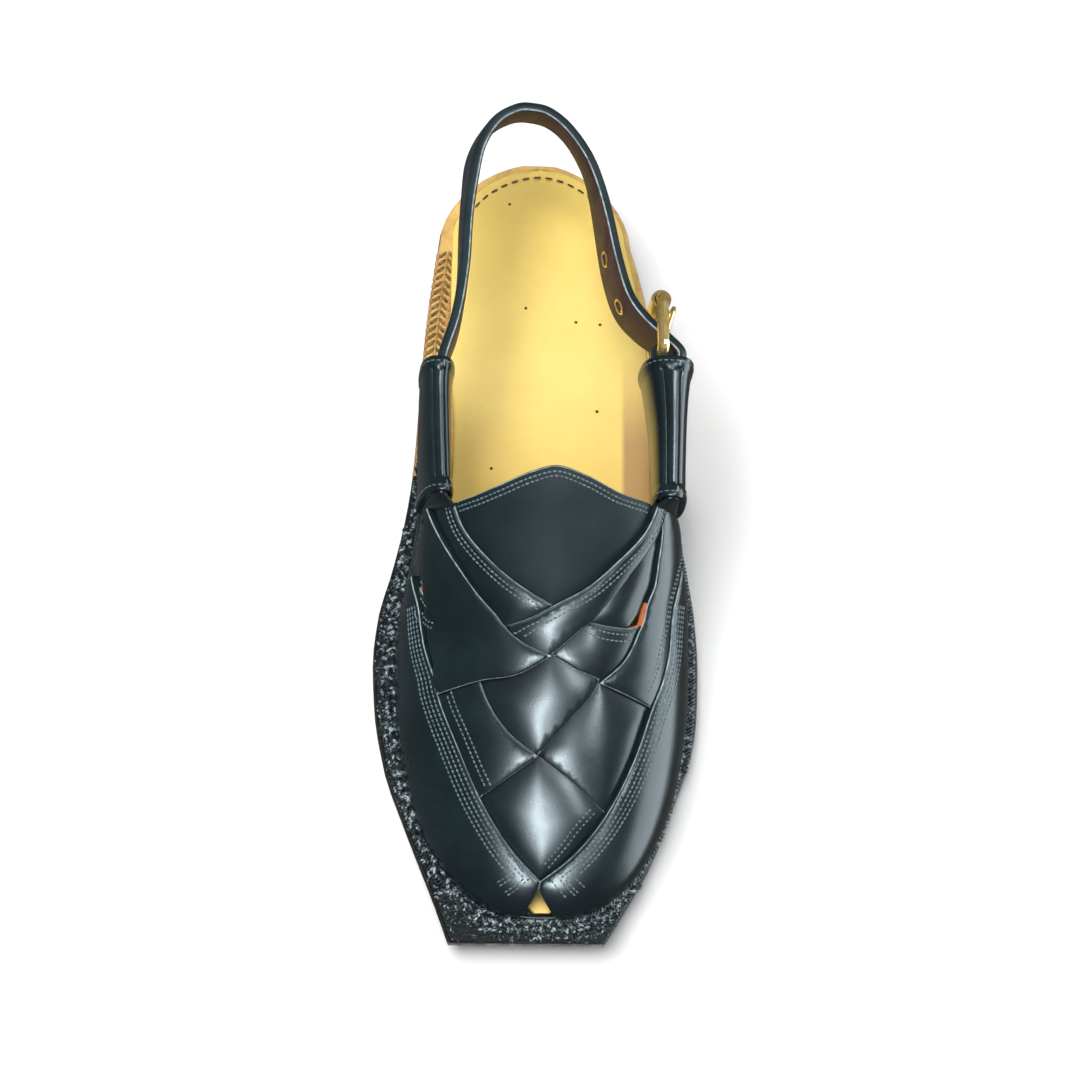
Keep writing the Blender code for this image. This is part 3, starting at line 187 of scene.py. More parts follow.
CELLS = (
    # name, steps, corners
    ("tongue", 0.0, "collar_in collar_1 collar_2 collar_3 collar_peak collar_4 collar_5 collar_out "
                    "second_1 second_2 second_3 cross_top first_4 first_3 first_2 first_1"),
    ("first_strap", 1.1, "collar_in first_1 first_2 first_3 first_4 cross_top second_4 cross_in "
                         "third_4 third_3 third_2 third_1 third_start"),
    ("second_strap", 2.1, "collar_out band_start band_fork band_3 band_2 band_1 bar_in cross_mid third_5 "
                          "cross_in second_4 cross_top second_3 second_2 second_1"),
    ("third_strap", 3.0, "third_start third_1 third_2 third_3 third_4 cross_in third_5 cross_mid tile_1 "
                         "tile_left panel_in_mid panel_in_upper third_left_3 third_left_2 gap_in_low "
                         "gap_in_top third_left_1"),
    ("inner_bar", 1.0, "gap_in_left gap_in_low third_left_2 third_left_3 panel_in_upper panel_in_1 "
                       "panel_in_2"),
    ("fourth_strap", 0.2, "band_fork band_3 band_2 band_1 bar_in bar_1 gap_out_in gap_out_top outer_1 "
                          "outer_2"),
    ("outer_bar", 0.9, "bar_in bar_1 gap_out_in gap_out_low outer_3 cross_out bar_low cross_mid"),
    ("fifth_strap", 1.8, "band_start band_fork outer_2 outer_1 gap_out_top gap_out_low outer_3 cross_out "
                         "right_1 panel_out_mid panel_out_1 panel_out_2 panel_out_3 panel_out_rear "
                         "bunch_out"),
    ("middle_tile", 0.6, "cross_mid bar_low cross_out tile_4 tile_low tile_3 tile_2 tile_left tile_1"),
    ("inner_tile", 1.6, "tile_left tile_2 tile_3 tile_low left_2 panel_in_low left_1 panel_in_mid"),
    ("outer_tile", 0.3, "cross_out right_1 panel_out_mid right_2 panel_out_low right_3 tile_low tile_4"),
    ("toe_tile", 0.0, "tile_low right_3 panel_out_low toe_out toe_seam toe_in panel_in_low left_2"),
    ("inner_panel", 2.3, "panel_in_rear panel_in_2 panel_in_1 panel_in_upper panel_in_mid left_1 "
                         "panel_in_low toe_in toe_seam peep_top feather_toe_in feather_panel_in"),
    ("outer_panel", 2.3, "panel_out_rear panel_out_3 panel_out_2 panel_out_1 panel_out_mid right_2 "
                         "panel_out_low toe_out toe_seam peep_top feather_toe_out feather_panel_out"),
    ("inner_wing", 0.1, "third_start third_left_1 gap_in_top gap_in_left panel_in_2 panel_in_rear "
                        "feather_panel_in feather_wing_in wing_in_3 wing_in_2 wing_in_1 bunch_in"),
    ("outer_wing", 0.1, "panel_out_rear feather_panel_out feather_wing_out wing_out_3 wing_out_2 "
                        "wing_out_1 bunch_out"),
)

# Fine surface of the straps
EDGE_SPACING = 0.0013
GRID_SPACING = 0.0019
EDGE_ROUND = 0.0005
EDGE_RINGS = (0.00016, 0.0005)
RING_CLEAR = 0.85
GRID_SQUEEZE = 0.87
GRID_CLEAR = 0.0011
FEATHER_SPACING = 0.006
CROWN = 0.0008
CROWN_REACH = 0.006
DIP = 0.0004
DIP_REACH = 0.003

STRAP_ROUTE = (
    # across, along, top, lean
    (-0.675, 0.488, 0.972, 0.14), (-0.682, 0.430, 1.005, 0.10), (-0.688, 0.375, 1.030, 0.06),
    (-0.668, 0.335, 1.050, 0.02), (-0.595, 0.285, 1.070, 0.00), (-0.549, 0.225, 1.080, 0.02),
    (-0.530, 0.160, 1.095, 0.06), (-0.500, 0.113, 1.115, 0.12), (-0.455, 0.072, 1.140, 0.20),
    (-0.360, 0.040, 1.160, 0.26), (-0.235, 0.024, 1.170, 0.28), (-0.130, 0.0215, 1.170, 0.28),
    (-0.012, 0.027, 1.165, 0.26), (0.112, 0.046, 1.150, 0.20), (0.232, 0.078, 1.125, 0.10),
    (0.309, 0.113, 1.100, 0.00), (0.366, 0.155, 1.085, -0.08), (0.422, 0.208, 1.075, -0.13),
    (0.485, 0.252, 1.072, -0.12), (0.575, 0.279, 1.072, -0.06), (0.690, 0.301, 1.072, 0.00),
    (0.787, 0.324, 1.065, 0.00), (0.757, 0.355, 1.055, 0.00), (0.755, 0.392, 1.030, 0.01),
    (0.754, 0.422, 1.012, 0.01),
)
EYELET_PLACES = (0.700, 0.750)
PRONG_HOLE_PLACE = 0.833
SLEEVE_IN = (
    # across, along, middle, width, lean
    (-0.668, 0.5010, 0.825, 0.50, 0.14),
    (-0.671, 0.4600, 0.842, 0.53, 0.10),
    (-0.675, 0.4150, 0.860, 0.54, 0.07),
    (-0.675, 0.3780, 0.877, 0.54, 0.04),
    (-0.668, 0.3440, 0.900, 0.56, 0.02),
)
SLEEVE_OUT = (
    # across, along, middle, width, lean
    (0.700, 0.5010, 0.825, 0.560, 0.05),
    (0.698, 0.4600, 0.845, 0.580, 0.03),
    (0.694, 0.4150, 0.875, 0.620, 0.01),
    (0.686, 0.3780, 0.905, 0.720, 0.00),
    (0.682, 0.3375, 0.930, 0.900, 0.00),
)

# Rows of stitches on the upper: piece, edge that they follow and distances from it in mm
SEAMS = (
    ("tongue", COLLAR, (1.7, 3.2)),
    ("first_strap", FIRST_EDGE, (2.2, 3.7)),
    ("second_strap", SECOND_EDGE, (2.4, 3.9)),
    ("outer_bar", OUTER_GAP_EDGE, (1.7, 3.1)),
    ("inner_bar", "gap_in_left gap_in_low", (1.7, 3.1)),
    ("inner_tile", "panel_in_mid left_1 panel_in_low", (3.2, 4.9)),
)
# Rows that end in a square return at the toe
RETURNS = (
    ("inner_panel", INNER_PANEL_EDGE, (1.4, 3.0, 4.6, 6.2)),
    ("outer_panel", OUTER_PANEL_EDGE, (1.4, 3.0, 4.6, 6.2)),
)
RETURN_END, RETURN_STOP, RETURN_STEP = 0.0125, 0.0026, 0.0018
# Double rows over several pieces: how far apart in mm, and places of the first row on the last
LOOSE_SEAMS = (
    (1.5, ((0.690, 0.530), (0.600, 0.562), (0.552, 0.592), (0.542, 0.626), (0.497, 0.661),
           (0.430, 0.685))),
    (-1.9, ((0.204, 0.768), (0.162, 0.776), (0.120, 0.786), (0.078, 0.799), (0.030, 0.813),
            (-0.012, 0.826))),
    (1.8, ((-0.616, 0.612), (-0.594, 0.621), (-0.560, 0.627), (-0.510, 0.632))),
)
STITCH_PITCH, STITCH_LENGTH, STITCH_WIDTH, STITCH_RISE = 0.0017, 0.0013, 0.00060, 0.55
BAR_SIDES = 5
BAR_SECTIONS = (
    # share of the length, of the width and of the height
    (-0.5, 0.35, 0.24), (-0.32, 1.0, 1.0), (0.32, 1.0, 1.0), (0.5, 0.35, 0.24),
)
# Beads along cut edges: piece, edge, distance from it and width in mm
PIPINGS = (
    ("first_strap", FIRST_EDGE, 0.55, 0.9),
    ("second_strap", SECOND_EDGE, 0.55, 0.9),
    ("third_strap", "third_3 third_4 cross_in third_5 cross_mid", 0.50, 0.8),
    ("inner_tile", TILE_EDGE, 0.50, 0.9),
    ("outer_bar", OUTER_GAP_EDGE, 0.5, 0.7),
    ("inner_bar", "gap_in_left gap_in_low", 0.5, 0.7),
)

# Braids on the welt and the rim. A stroke is a length, a width and a height, a row a distance and a slant
BEAD_OUT, BEAD_RISE, BEAD_SIZE = 0.0028, 0.0004, 0.0011
BRAID_ROWS = ((0.0046, 0.9), (0.0068, -0.9))
BRAID_PITCH, BRAID_STROKE = 0.00135, (0.0034, 0.0012, 0.0007)
ROUGH_ROWS, ROUGH_PITCH, ROUGH_SHIFT = (0.0086, 0.0100, 0.0114), 0.0013, 0.0004
ROUGH_LENGTHS, ROUGH_WIDTH, ROUGH_HEIGHTS = (0.0012, 0.0022), 0.0009, (0.0004, 0.0008)
BRAID_ROOM, ROUGH_ROOM = 0.0012, 0.0014
RIM_START, RIM_LENGTH, RIM_PITCH = 0.13, 0.30, 0.0030
RIM_ROWS, RIM_SLANTED = ((0.0024, 1.1), (0.0056, -1.1)), (0.0036, 0.0013, 0.0007)
RIM_LINES, RIM_STRAIGHT = (0.0006, 0.0040, 0.0074), (0.0026, 0.0014, 0.0008)

# Sleeves, the strap ends gathered into them and the strips inside the wings
SLEEVE_SIDES, SLEEVE_STATIONS, SLEEVE_POWER = 56, 40, 0.74
SLEEVE_RIM, RIM_RISE, LIP_RISE = 0.0035, 0.0004, 0.0001
RIM_STITCH_PITCH, RIM_STITCH = 0.0021, (0.0015, 0.0004, 0.00025)
GROOVES, GROOVE_WIDTH, GROOVE_DEPTH = (-0.34, 0.30), 0.11, 0.0009
BUNCH_POINTS, BUNCH_DEPTH, BUNCH_STEPS = 72, 0.030, 5
WING_STRIP = (0.424, 0.536)
WING_SHARES, WING_SEAM = (0.996, 0.975, 0.955, 0.935), 0.950
WING_PITCH, WING_STITCH = 0.0036, (0.0024, 0.0006, 0.0003)

STRAP_SECTION = (
    # height share from the top, depth share from the outer face, material
    (0.045, 0.05, 0), (0.100, 0.00, 0), (0.30, -0.02, 0), (0.50, -0.03, 0), (0.70, -0.02, 0),
    (0.900, 0.00, 0), (0.955, 0.05, 0), (0.985, 0.20, 0), (1.000, 0.50, 0), (0.996, 0.74, 1),
    (0.985, 0.86, 2), (0.940, 1.00, 2), (0.500, 1.02, 2), (0.060, 1.00, 2), (0.015, 0.86, 1),
    (0.004, 0.74, 0), (0.000, 0.50, 0), (0.015, 0.20, 0),
)
HOLE_RADIUS, HOLE_SIDES = 0.0022, 20
EYELET_RADIUS, EYELET_SIDES, EYELET_RING = 0.0026, 24, (0.0009, 0.0007)

# Foot bed
BED_DISH, BED_COLUMNS, BED_CLEARANCE = 0.0012, 14, 0.0009
BED_SIDE = (
    # height share, inset
    (0.0, 0.0), (0.75, 0.0), (0.93, 0.0003), (1.0, 0.0009),
)
PEEP_LIP, PEEP_HALF, PEEP_BLEND = 0.0024, 0.0058, 0.0012
BED_SEAM_IN, BED_STITCH_PITCH, BED_STITCH = 0.0035, 0.0044, (0.0028, 0.0007, 0.0004)
NAIL_STROKE = (0.0012, 0.0008, 0.0003)
NAILS = (
    # across and along in metres
    (-0.0118, 0.0191), (-0.0056, 0.0612), (0.0131, 0.0662), (0.0221, 0.0670), (0.0210, 0.1003),
    (-0.0176, 0.1220),
)

# Light and camera
LAMPS = (
    # name, direction to the lamp, distance, width, height, power, seen in reflections, lights surfaces
    ("key", (-0.29, 0.13, 0.95), 1.3, 0.78, 0.78, 19.0, False, True),
    ("fill", (0.0, 0.0, 1.0), 1.7, 2.4, 2.4, 14.0, False, True),
    ("toe_card", (0.05, -0.54, 0.84), 3.0, 0.34, 0.48, 46.0, True, False),
    ("weave_card", (0.38, -0.31, 0.87), 3.0, 0.26, 0.30, 17.0, True, False),
    ("sleeve_card", (0.70, 0.12, 0.70), 3.0, 0.22, 1.20, 40.0, True, False),
    ("side_card", (0.97, -0.10, 0.05), 1.2, 1.20, 0.90, 19.0, True, False),
)
LAMP_TINT, CARD_TINT = (1.0, 1.0, 1.0), (0.80, 0.94, 1.0)
WORLD_LIGHT = 0.14
AIM = Vector((0.0, -0.16, 0.04))
TARGET = Vector((0.0, -0.120, 0.022))
AWAY = Vector((-0.062, -0.215, 0.7158))
SENSOR, FOCUS_PIXELS, FRAME_PIXELS = 36.0, 2075.0, 1080.0
UP = Vector((0, 0, 1))


def place(across, along, height):
    """A point from metres across, metres forward of the heel end and metres over the floor."""
    return Vector((across, HEEL_SETBACK - along, height))


def read_table(rows, column, value):
    """Smooth reading of a table whose first column rises, with no overshoot between rows."""
    keys = [row[0] for row in rows]
    if value <= keys[0]:
        return rows[0][column]
    if value >= keys[-1]:
        return rows[-1][column]
    slopes = [(b[column] - a[column]) / (b[0] - a[0]) for a, b in zip(rows, rows[1:])]

    def tangent(row):
        if row == 0:
            return slopes[0]
        if row == len(rows) - 1:
            return slopes[-1]
        before, after = slopes[row - 1], slopes[row]
        return 0.0 if before * after <= 0 else 2 * before * after / (before + after)

    start = max(row for row in range(len(rows) - 1) if keys[row] <= value)
    span = keys[start + 1] - keys[start]
    t = (value - keys[start]) / span
    return ((2 * t**3 - 3 * t**2 + 1) * rows[start][column]
            + (t**3 - 2 * t**2 + t) * span * tangent(start)
            + (3 * t**2 - 2 * t**3) * rows[start + 1][column]
            + (t**3 - t**2) * span * tangent(start + 1))


def smooth_route(rows, per_span):
    """Points of a smooth curve through the rows, each column read alike."""
    ends = [rows[0], *rows, rows[-1]]
    route = []
    for four in zip(ends, ends[1:], ends[2:], ends[3:]):
        for step in range(per_span):
            t = step / per_span
            route.append(tuple(
                0.5 * (2 * b + (c - a) * t + (2 * a - 5 * b + 4 * c - d) * t**2
                       + (3 * b - a - 3 * c + d) * t**3)
                for a, b, c, d in zip(*four)))
    route.append(tuple(rows[-1]))
    return route


def underside(along):
    """Height of the outsole's underside."""
    share = along / SOLE_LENGTH
    height = 0.0
    if share < HEEL_END:
        height = HEEL_HEIGHT
    elif share < ARCH_END:
        t = (share - HEEL_END) / (ARCH_END - HEEL_END)
        height = HEEL_HEIGHT * (1 - t * t * (3 - 2 * t))
    if share > SPRING_START:
        height += TOE_SPRING * ((share - SPRING_START) / (1 - SPRING_START)) ** 2
    return height


def feather_height(along):
    """Height of the upper's lower edge, just over the welt."""
    return underside(along) + FEATHER


def last_reach(across, along):
    """How far down from the ridge a place lies: 0 on the ridge, 1 at the feather."""
    if along <= FAN_START:
        return abs(across)
    ahead = (along - FAN_START) / FAN_REACH
    return (abs(across) ** FAN_POWER + ahead**FAN_POWER) ** (1 / FAN_POWER)


def last_point(across, along):
    """The point of the last's surface for a share across and a share along."""
    ridge = RIDGE_ACROSS * HALF_BALL
    side, column = (1, 2) if across >= 0 else (-1, 1)
    section = min(along, FAN_START)
    half = HALF_BALL * read_table(LAST, column, section) - side * ridge
    reach = last_reach(across, along)
    turn = min(reach, 1.0) * math.pi / 2
    spread = math.sqrt(max(0.0, 1 - math.cos(turn) ** (2 / read_table(LAST, 4, section))))
    if along <= FAN_START:
        sideways, share = half * spread, along
    else:
        sideways = half * abs(across) / reach * spread
        share = FAN_START + (along - FAN_START) / reach * spread
    forward = share * SOLE_LENGTH
    rise = INSTEP_HEIGHT * read_table(LAST, 3, share) * math.cos(turn)
    return place(ridge + side * sideways, forward, feather_height(forward) + rise)


def feather_turn(across, along):
    """How far round the feather a place lies: below 0 on the outer side, over 1 on the inner side."""
    if along <= FAN_START:
        back = FAN_START - along
        return -back if across > 0 else 1 + back
    angle = math.atan2((max(along - FAN_START, 0.0) / FAN_REACH) ** (FAN_POWER / 2),
                       math.copysign(abs(across) ** (FAN_POWER / 2), across))
    return angle / math.pi


def feather_place(turn):
    """The share across and along of a place on the feather."""
    if turn <= 0:
        return 1.0, FAN_START + turn
    if turn >= 1:
        return -1.0, FAN_START - (turn - 1)
    angle = turn * math.pi
    across = math.copysign(abs(math.cos(angle)) ** (2 / FAN_POWER), math.cos(angle))
    return across, FAN_START + FAN_REACH * math.sin(angle) ** (2 / FAN_POWER)


def feather_outward(turn):
    """The level outward direction at the feather."""
    edge = last_point(*feather_place(turn + 0.004)) - last_point(*feather_place(turn - 0.004))
    outward = Vector((-edge.y, edge.x, 0.0)).normalized()
    away = last_point(*feather_place(turn)) - last_point(0.0, FAN_START)
    return outward if outward.dot(away) >= 0 else -outward


def last_normal(across, along):
    """The outward direction of the last's surface."""
    step = 0.002
    if last_reach(across, along) >= 1 - 2 * step:
        return feather_outward(feather_turn(across, along))
    sideways = last_point(across + step, along) - last_point(across - step, along)
    forward = last_point(across, along + step) - last_point(across, along - step)
    return forward.cross(sideways).normalized()


def on_last(across, along, height):
    """A point a height over the last."""
    base = last_point(across, along)
    raised = base + last_normal(across, along) * height
    raised.z += underside(HEEL_SETBACK - raised.y) - underside(HEEL_SETBACK - base.y)
    return raised


def flat(spot):
    """A place on the last laid out flat, roughly to scale."""
    return Vector((spot[0] * SECTION_ARC, -spot[1] * SOLE_LENGTH))


def unflat(point):
    """The place on the last of a flat point."""
    return point[0] / SECTION_ARC, -point[1] / SOLE_LENGTH


def shifted(spot, direction, distance):
    """The place reached from a spot by going a distance over the last, along a direction in space."""
    step = 0.002
    here = last_point(*spot)
    across = (last_point(spot[0] + step, spot[1]) - here) / step
    along = (last_point(spot[0], spot[1] + step) - here) / step
    a, b, c = across.dot(across), across.dot(along), along.dot(along)
    wanted = direction * distance
    u, v = wanted.dot(across), wanted.dot(along)
    det = a * c - b * b
    return spot[0] + (c * u - b * v) / det, spot[1] + (a * v - b * u) / det


def between(a, b, start, end, t):
    """The point at t on the line that is at a for start and at b for end."""
    return (a * (end - t) + b * (t - start)) / (end - start)


def curve_span(points, index):
    """Places from one point of a curve to the next, the last left out, on a smooth curve."""
    start, end = points[index], points[index + 1]
    before = points[index - 1] if index > 0 else 2 * start - end
    after = points[index + 2] if index + 2 < len(points) else 2 * end - start
    four = (before, start, end, after)
    knots = [0.0]
    for a, b in zip(four, four[1:]):
        knots.append(knots[-1] + max((b - a).length, 1e-9) ** 0.5)
    count = max(1, math.ceil((end - start).length / EDGE_SPACING))
    span = []
    for step in range(count):
        t = knots[1] + (knots[2] - knots[1]) * step / count
        level = four
        for order in (1, 2):
            level = [between(a, b, knots[i], knots[i + order], t)
                     for i, (a, b) in enumerate(zip(level, level[1:]))]
        span.append(unflat(between(*level, knots[1], knots[2], t)))
    return span


def smooth_spans():
    """Both ways of every span between neighbouring crossings of the curves."""
    spans = {}
    for curve in CURVES:
        names = curve.split()
        points = [flat(CROSSINGS[name]) for name in names]
        for index, (a, b) in enumerate(zip(names, names[1:])):
            spans[(a, b)] = curve_span(points, index)
            spans[(b, a)] = [CROSSINGS[b]] + spans[(a, b)][:0:-1]
    return spans


def toe_turn(across):
    """The turn of the place on the toe's feather at a share across."""
    return math.acos(math.copysign(abs(across) ** (FAN_POWER / 2), across)) / math.pi


SPANS = smooth_spans()
FEATHER_TURNS = {
    "feather_toe_in": toe_turn(-PEEP_IN),
    "feather_toe_out": toe_turn(PEEP_OUT),
    "feather_panel_in": 1 + FAN_START - PANEL_FOOT,
    "feather_panel_out": -(FAN_START - PANEL_FOOT),
    "feather_wing_in": 1 + FAN_START - WING_FOOT,
    "feather_wing_out": -(FAN_START - WING_FOOT),
}


def corner_place(name):
    """The place of a named corner."""
    return CROSSINGS[name] if name in CROSSINGS else feather_place(FEATHER_TURNS[name])


def edge_span(a, b):
    """Places from one corner of a cell to the next, the last left out."""
    if (a, b) in SPANS:
        return SPANS[(a, b)]
    if a in FEATHER_TURNS and b in FEATHER_TURNS:
        start, end = FEATHER_TURNS[a], FEATHER_TURNS[b]
        count = max(1, round(abs(end - start) / FEATHER_SPACING))
        return [feather_place(start + (end - start) * step / count) for step in range(count)]
    start, end = corner_place(a), corner_place(b)
    count = max(1, math.ceil((flat(end) - flat(start)).length / EDGE_SPACING))
    low, high = sorted((start, end))
    line = [tuple(p + (q - p) * step / count for p, q in zip(low, high)) for step in range(count + 1)]
    return line[:-1] if start == low else line[:0:-1]


def distances(points, starts, ends):
    """The distance of each flat point from the nearest of some segments."""
    best = np.full(len(points), 1.0)
    for start, end in zip(starts, ends):
        line = end - start
        share = np.clip(((points - start) @ line) / max(line @ line, 1e-18), 0, 1)
        best = np.minimum(best, np.linalg.norm(points - start - share[:, None] * line, axis=1))
    return best


def inside_polygon(points, loop):
    """Which flat points lie inside a closed loop."""
    inside = np.zeros(len(points), bool)
    for a, b in zip(loop, np.roll(loop, -1, axis=0)):
        crosses = (a[1] > points[:, 1]) != (b[1] > points[:, 1])
        if a[1] != b[1]:
            edge = a[0] + (points[:, 1] - a[1]) * (b[0] - a[0]) / (b[1] - a[1])
            inside ^= crosses & (points[:, 0] < edge)
    return inside


class Cell:
    """One visible piece of the weave: its loop, what each edge meets and its height at any place."""

    def __init__(self, name, steps, corners):
        self.name = name
        self.level = WALL + STRAP_STEP * steps
        names = corners.split()
        self.sides = list(zip(names, names[1:] + names[:1]))

    def fill(self, levels):
        """Lays out the loop once the levels of all neighbours are known."""
        spots, self.kinds = [], []
        for a, b in self.sides:
            near = [level for level in levels[frozenset((a, b))] if level != self.level]
            if a in FEATHER_TURNS and b in FEATHER_TURNS:
                kind = "foot"
            elif near:
                kind = "under" if near[0] > self.level else "own"
            else:
                kind = "gap" if a.startswith("gap") and b.startswith("gap") else "open"
            span = edge_span(a, b)
            spots.extend(span)
            self.kinds.extend([kind] * len(span))
        self.loop = np.array([flat(spot) for spot in spots])
        self.following = np.roll(self.loop, -1, axis=0)
        kinds = np.array(self.kinds)
        cut = np.isin(kinds, ("own", "open", "gap"))
        under = kinds == "under"
        self.own = (self.loop[cut], self.following[cut])
        self.under = (self.loop[under], self.following[under])

    def heights(self, points):
        """Heights over the last at flat points, and their distances from this piece's cut edges."""
        own = distances(points, *self.own)
        under = distances(points, *self.under)
        every = np.minimum(own, under)
        height = self.level + CROWN * (1 - np.exp(-every / CROWN_REACH))
        height = height - DIP * np.exp(-under / DIP_REACH)
        edge = np.clip(EDGE_ROUND - own, 0, EDGE_ROUND)
        height = height - (EDGE_ROUND - np.sqrt(EDGE_ROUND**2 - edge**2))
        return height, own


def make_cells():
    """All pieces of the weave by name."""
    cells = [Cell(*row) for row in CELLS]
    levels = {}
    for cell in cells:
        for side in cell.sides:
            levels.setdefault(frozenset(side), []).append(cell.level)
    for cell in cells:
        cell.fill(levels)
    return {cell.name: cell for cell in cells}


WEAVE = make_cells()


def cell_at(spot):
    """The piece of the weave at a place."""
    point = np.array([flat(spot)])
    for cell in WEAVE.values():
        if inside_polygon(point, cell.loop)[0]:
            return cell
    return None


# Materials
def shader_of(name):
    """A new material with its nodes and its shader."""
    made = bpy.data.materials.new(name)
    made.use_nodes = True
    tree = made.node_tree
    return made, tree, tree.nodes["Principled BSDF"]


def add_node(tree, kind, links=None, values=None, **settings):
    """A shader node with its settings, the values of its sockets and what is linked into them."""
    node = tree.nodes.new("ShaderNode" + kind)
    for key, setting in settings.items():
        setattr(node, key, setting)
    set_sockets(tree, node, links, values)
    return node


def set_sockets(tree, node, links=None, values=None):
    """Sets sockets of a node by name and links others."""
    for key, value in (values or {}).items():
        node.inputs[key].default_value = value
    for key, source in (links or {}).items():
        tree.links.new(source, node.inputs[key])


def noise(tree, scale, detail=3.0, roughness=0.5):
    """Noise in the object's own metres."""
    where = add_node(tree, "TexCoord").outputs["Object"]
    return add_node(tree, "TexNoise", {"Vector": where}, {
        "Scale": scale, "Detail": detail, "Roughness": roughness}).outputs["Fac"]


def axes(tree):
    """The object's own X, Y and Z."""
    where = add_node(tree, "TexCoord").outputs["Object"]
    return add_node(tree, "SeparateXYZ", {"Vector": where}).outputs


def ramp(tree, source, stops):
    """A colour read off a ramp with stops of (position, colour)."""
    node = add_node(tree, "ValToRGB", {"Fac": source})
    elements = node.color_ramp.elements
    while len(elements) < len(stops):
        elements.new(0.5)
    for element, (position, colour) in zip(elements, stops):
        element.position = position
        element.color = (*colour, 1.0)
    return node.outputs["Color"]


def ranged(tree, source, low, high, to_low=0.0, to_high=1.0):
    """A value mapped from one range to another and held at its ends."""
    return add_node(tree, "MapRange", {"Value": source}, {
        "From Min": low, "From Max": high, "To Min": to_low, "To Max": to_high}).outputs["Result"]


def mixed(tree, links, values=None, blend="MIX"):
    """Two colours A and B mixed by a factor."""
    return add_node(tree, "Mix", links, values, data_type="RGBA", blend_type=blend).outputs["Result"]


def bump(tree, source, strength, distance):
    """Fine relief for a shader's normal."""
    return add_node(tree, "Bump", {"Height": source}, {
        "Strength": strength, "Distance": distance}).outputs["Normal"]


def surface(name, dark, light, rough_low, rough_high, spots=90.0, grain=1400.0, strength=0.15,
            coat=0.0, metallic=0.0, gloss=0.5):
    """A material whose colour and roughness drift between two values, with a fine grain."""
    made, tree, shader = shader_of(name)
    fine = noise(tree, spots * 3.1)
    set_sockets(tree, shader, {
        "Base Color": ramp(tree, noise(tree, spots, 4.0, 0.55), ((0.30, dark), (0.72, light))),
        "Roughness": ranged(tree, fine, 0.0, 1.0, rough_low, rough_high),
        "Normal": bump(tree, noise(tree, grain, 2.0, 0.6), strength, 0.0002),
    }, {
        "Metallic": metallic, "Coat Weight": coat, "Coat Roughness": 0.30, "Specular IOR Level": gloss,
    })
    return made


def braid_material():
    """Waxed thread, dark with single bright strands."""
    made, tree, shader = shader_of("braid")
    strands = noise(tree, 620.0, 2.0, 0.7)
    set_sockets(tree, shader, {"Base Color": ramp(tree, strands, (
        (0.40, (0.004, 0.008, 0.010)), (0.54, (0.030, 0.042, 0.048)), (0.64, (0.40, 0.48, 0.50))))},
        {"Roughness": 0.34})
    return made


def insole_material():
    """Yellow tan leather, darker and more orange toward the vamp and bright again in the toe opening as
    painted light, with a brown band of painted shade at the outer side beside the wing that stands in partly
    for the wing's brown lining.
    """
    made, tree, shader = shader_of("insole_leather")
    axis = axes(tree)
    # Darker and more orange toward the vamp; the bright stops at the toe end are painted light in the toe
    # opening, where the foot bed lies in shade.
    base = ramp(tree, ranged(tree, axis["Y"], 0.01, -0.26), (
        (0.0, (0.84, 0.62, 0.16)), (0.25, (0.90, 0.69, 0.21)), (0.46, (0.86, 0.60, 0.16)),
        (0.58, (0.62, 0.36, 0.09)), (0.80, (0.98, 0.72, 0.22)), (1.0, (0.98, 0.72, 0.22))))
    drift = noise(tree, 45.0, 4.0, 0.6)
    shade = ramp(tree, drift, ((0.3, (0.90, 0.87, 0.82)), (0.7, (1.0, 1.0, 1.0))))
    shaded = mixed(tree, {"A": base, "B": shade}, {"Factor": 0.7}, "MULTIPLY")
    # A brown band of painted shade at the outer side ahead of the heel, beside the wing; it stands in partly
    # for the wing's brown lining.
    slanted = add_node(tree, "Math", {0: axis["Y"], 2: axis["X"]}, {1: 0.020}, operation="MULTIPLY_ADD")
    side = ranged(tree, slanted.outputs["Value"], 0.0282, 0.0300)
    fore = ranged(tree, axis["Y"], -0.048, -0.082, 0.0, 0.85)
    painted_shade_band = add_node(tree, "Math", {0: side, 1: fore}, operation="MULTIPLY").outputs["Value"]
    pores = noise(tree, 1100.0, 2.0, 0.6)
    set_sockets(tree, shader, {
        "Base Color": mixed(tree, {"Factor": painted_shade_band, "A": shaded}, {"B": (0.42, 0.24, 0.105, 1.0)}),
        "Normal": bump(tree, pores, 0.15, 0.0002),
    }, {"Roughness": 0.62, "Specular IOR Level": 0.25})
    return made


def two_part_leather(name, limits, rear_grain, rear_stops, fore_grain, fore_stops, roughness, relief):
    """Leather of one colour behind a line across the shoe and of another ahead of it."""
    made, tree, shader = shader_of(name)
    fore = noise(tree, *fore_grain)
    colour = mixed(tree, {"Factor": ranged(tree, axes(tree)["Y"], *limits),
                          "A": ramp(tree, noise(tree, *rear_grain), rear_stops),
                          "B": ramp(tree, fore, fore_stops)})
    set_sockets(tree, shader, {"Base Color": colour, "Normal": bump(tree, fore, *relief)},
                {"Roughness": roughness})
    return made


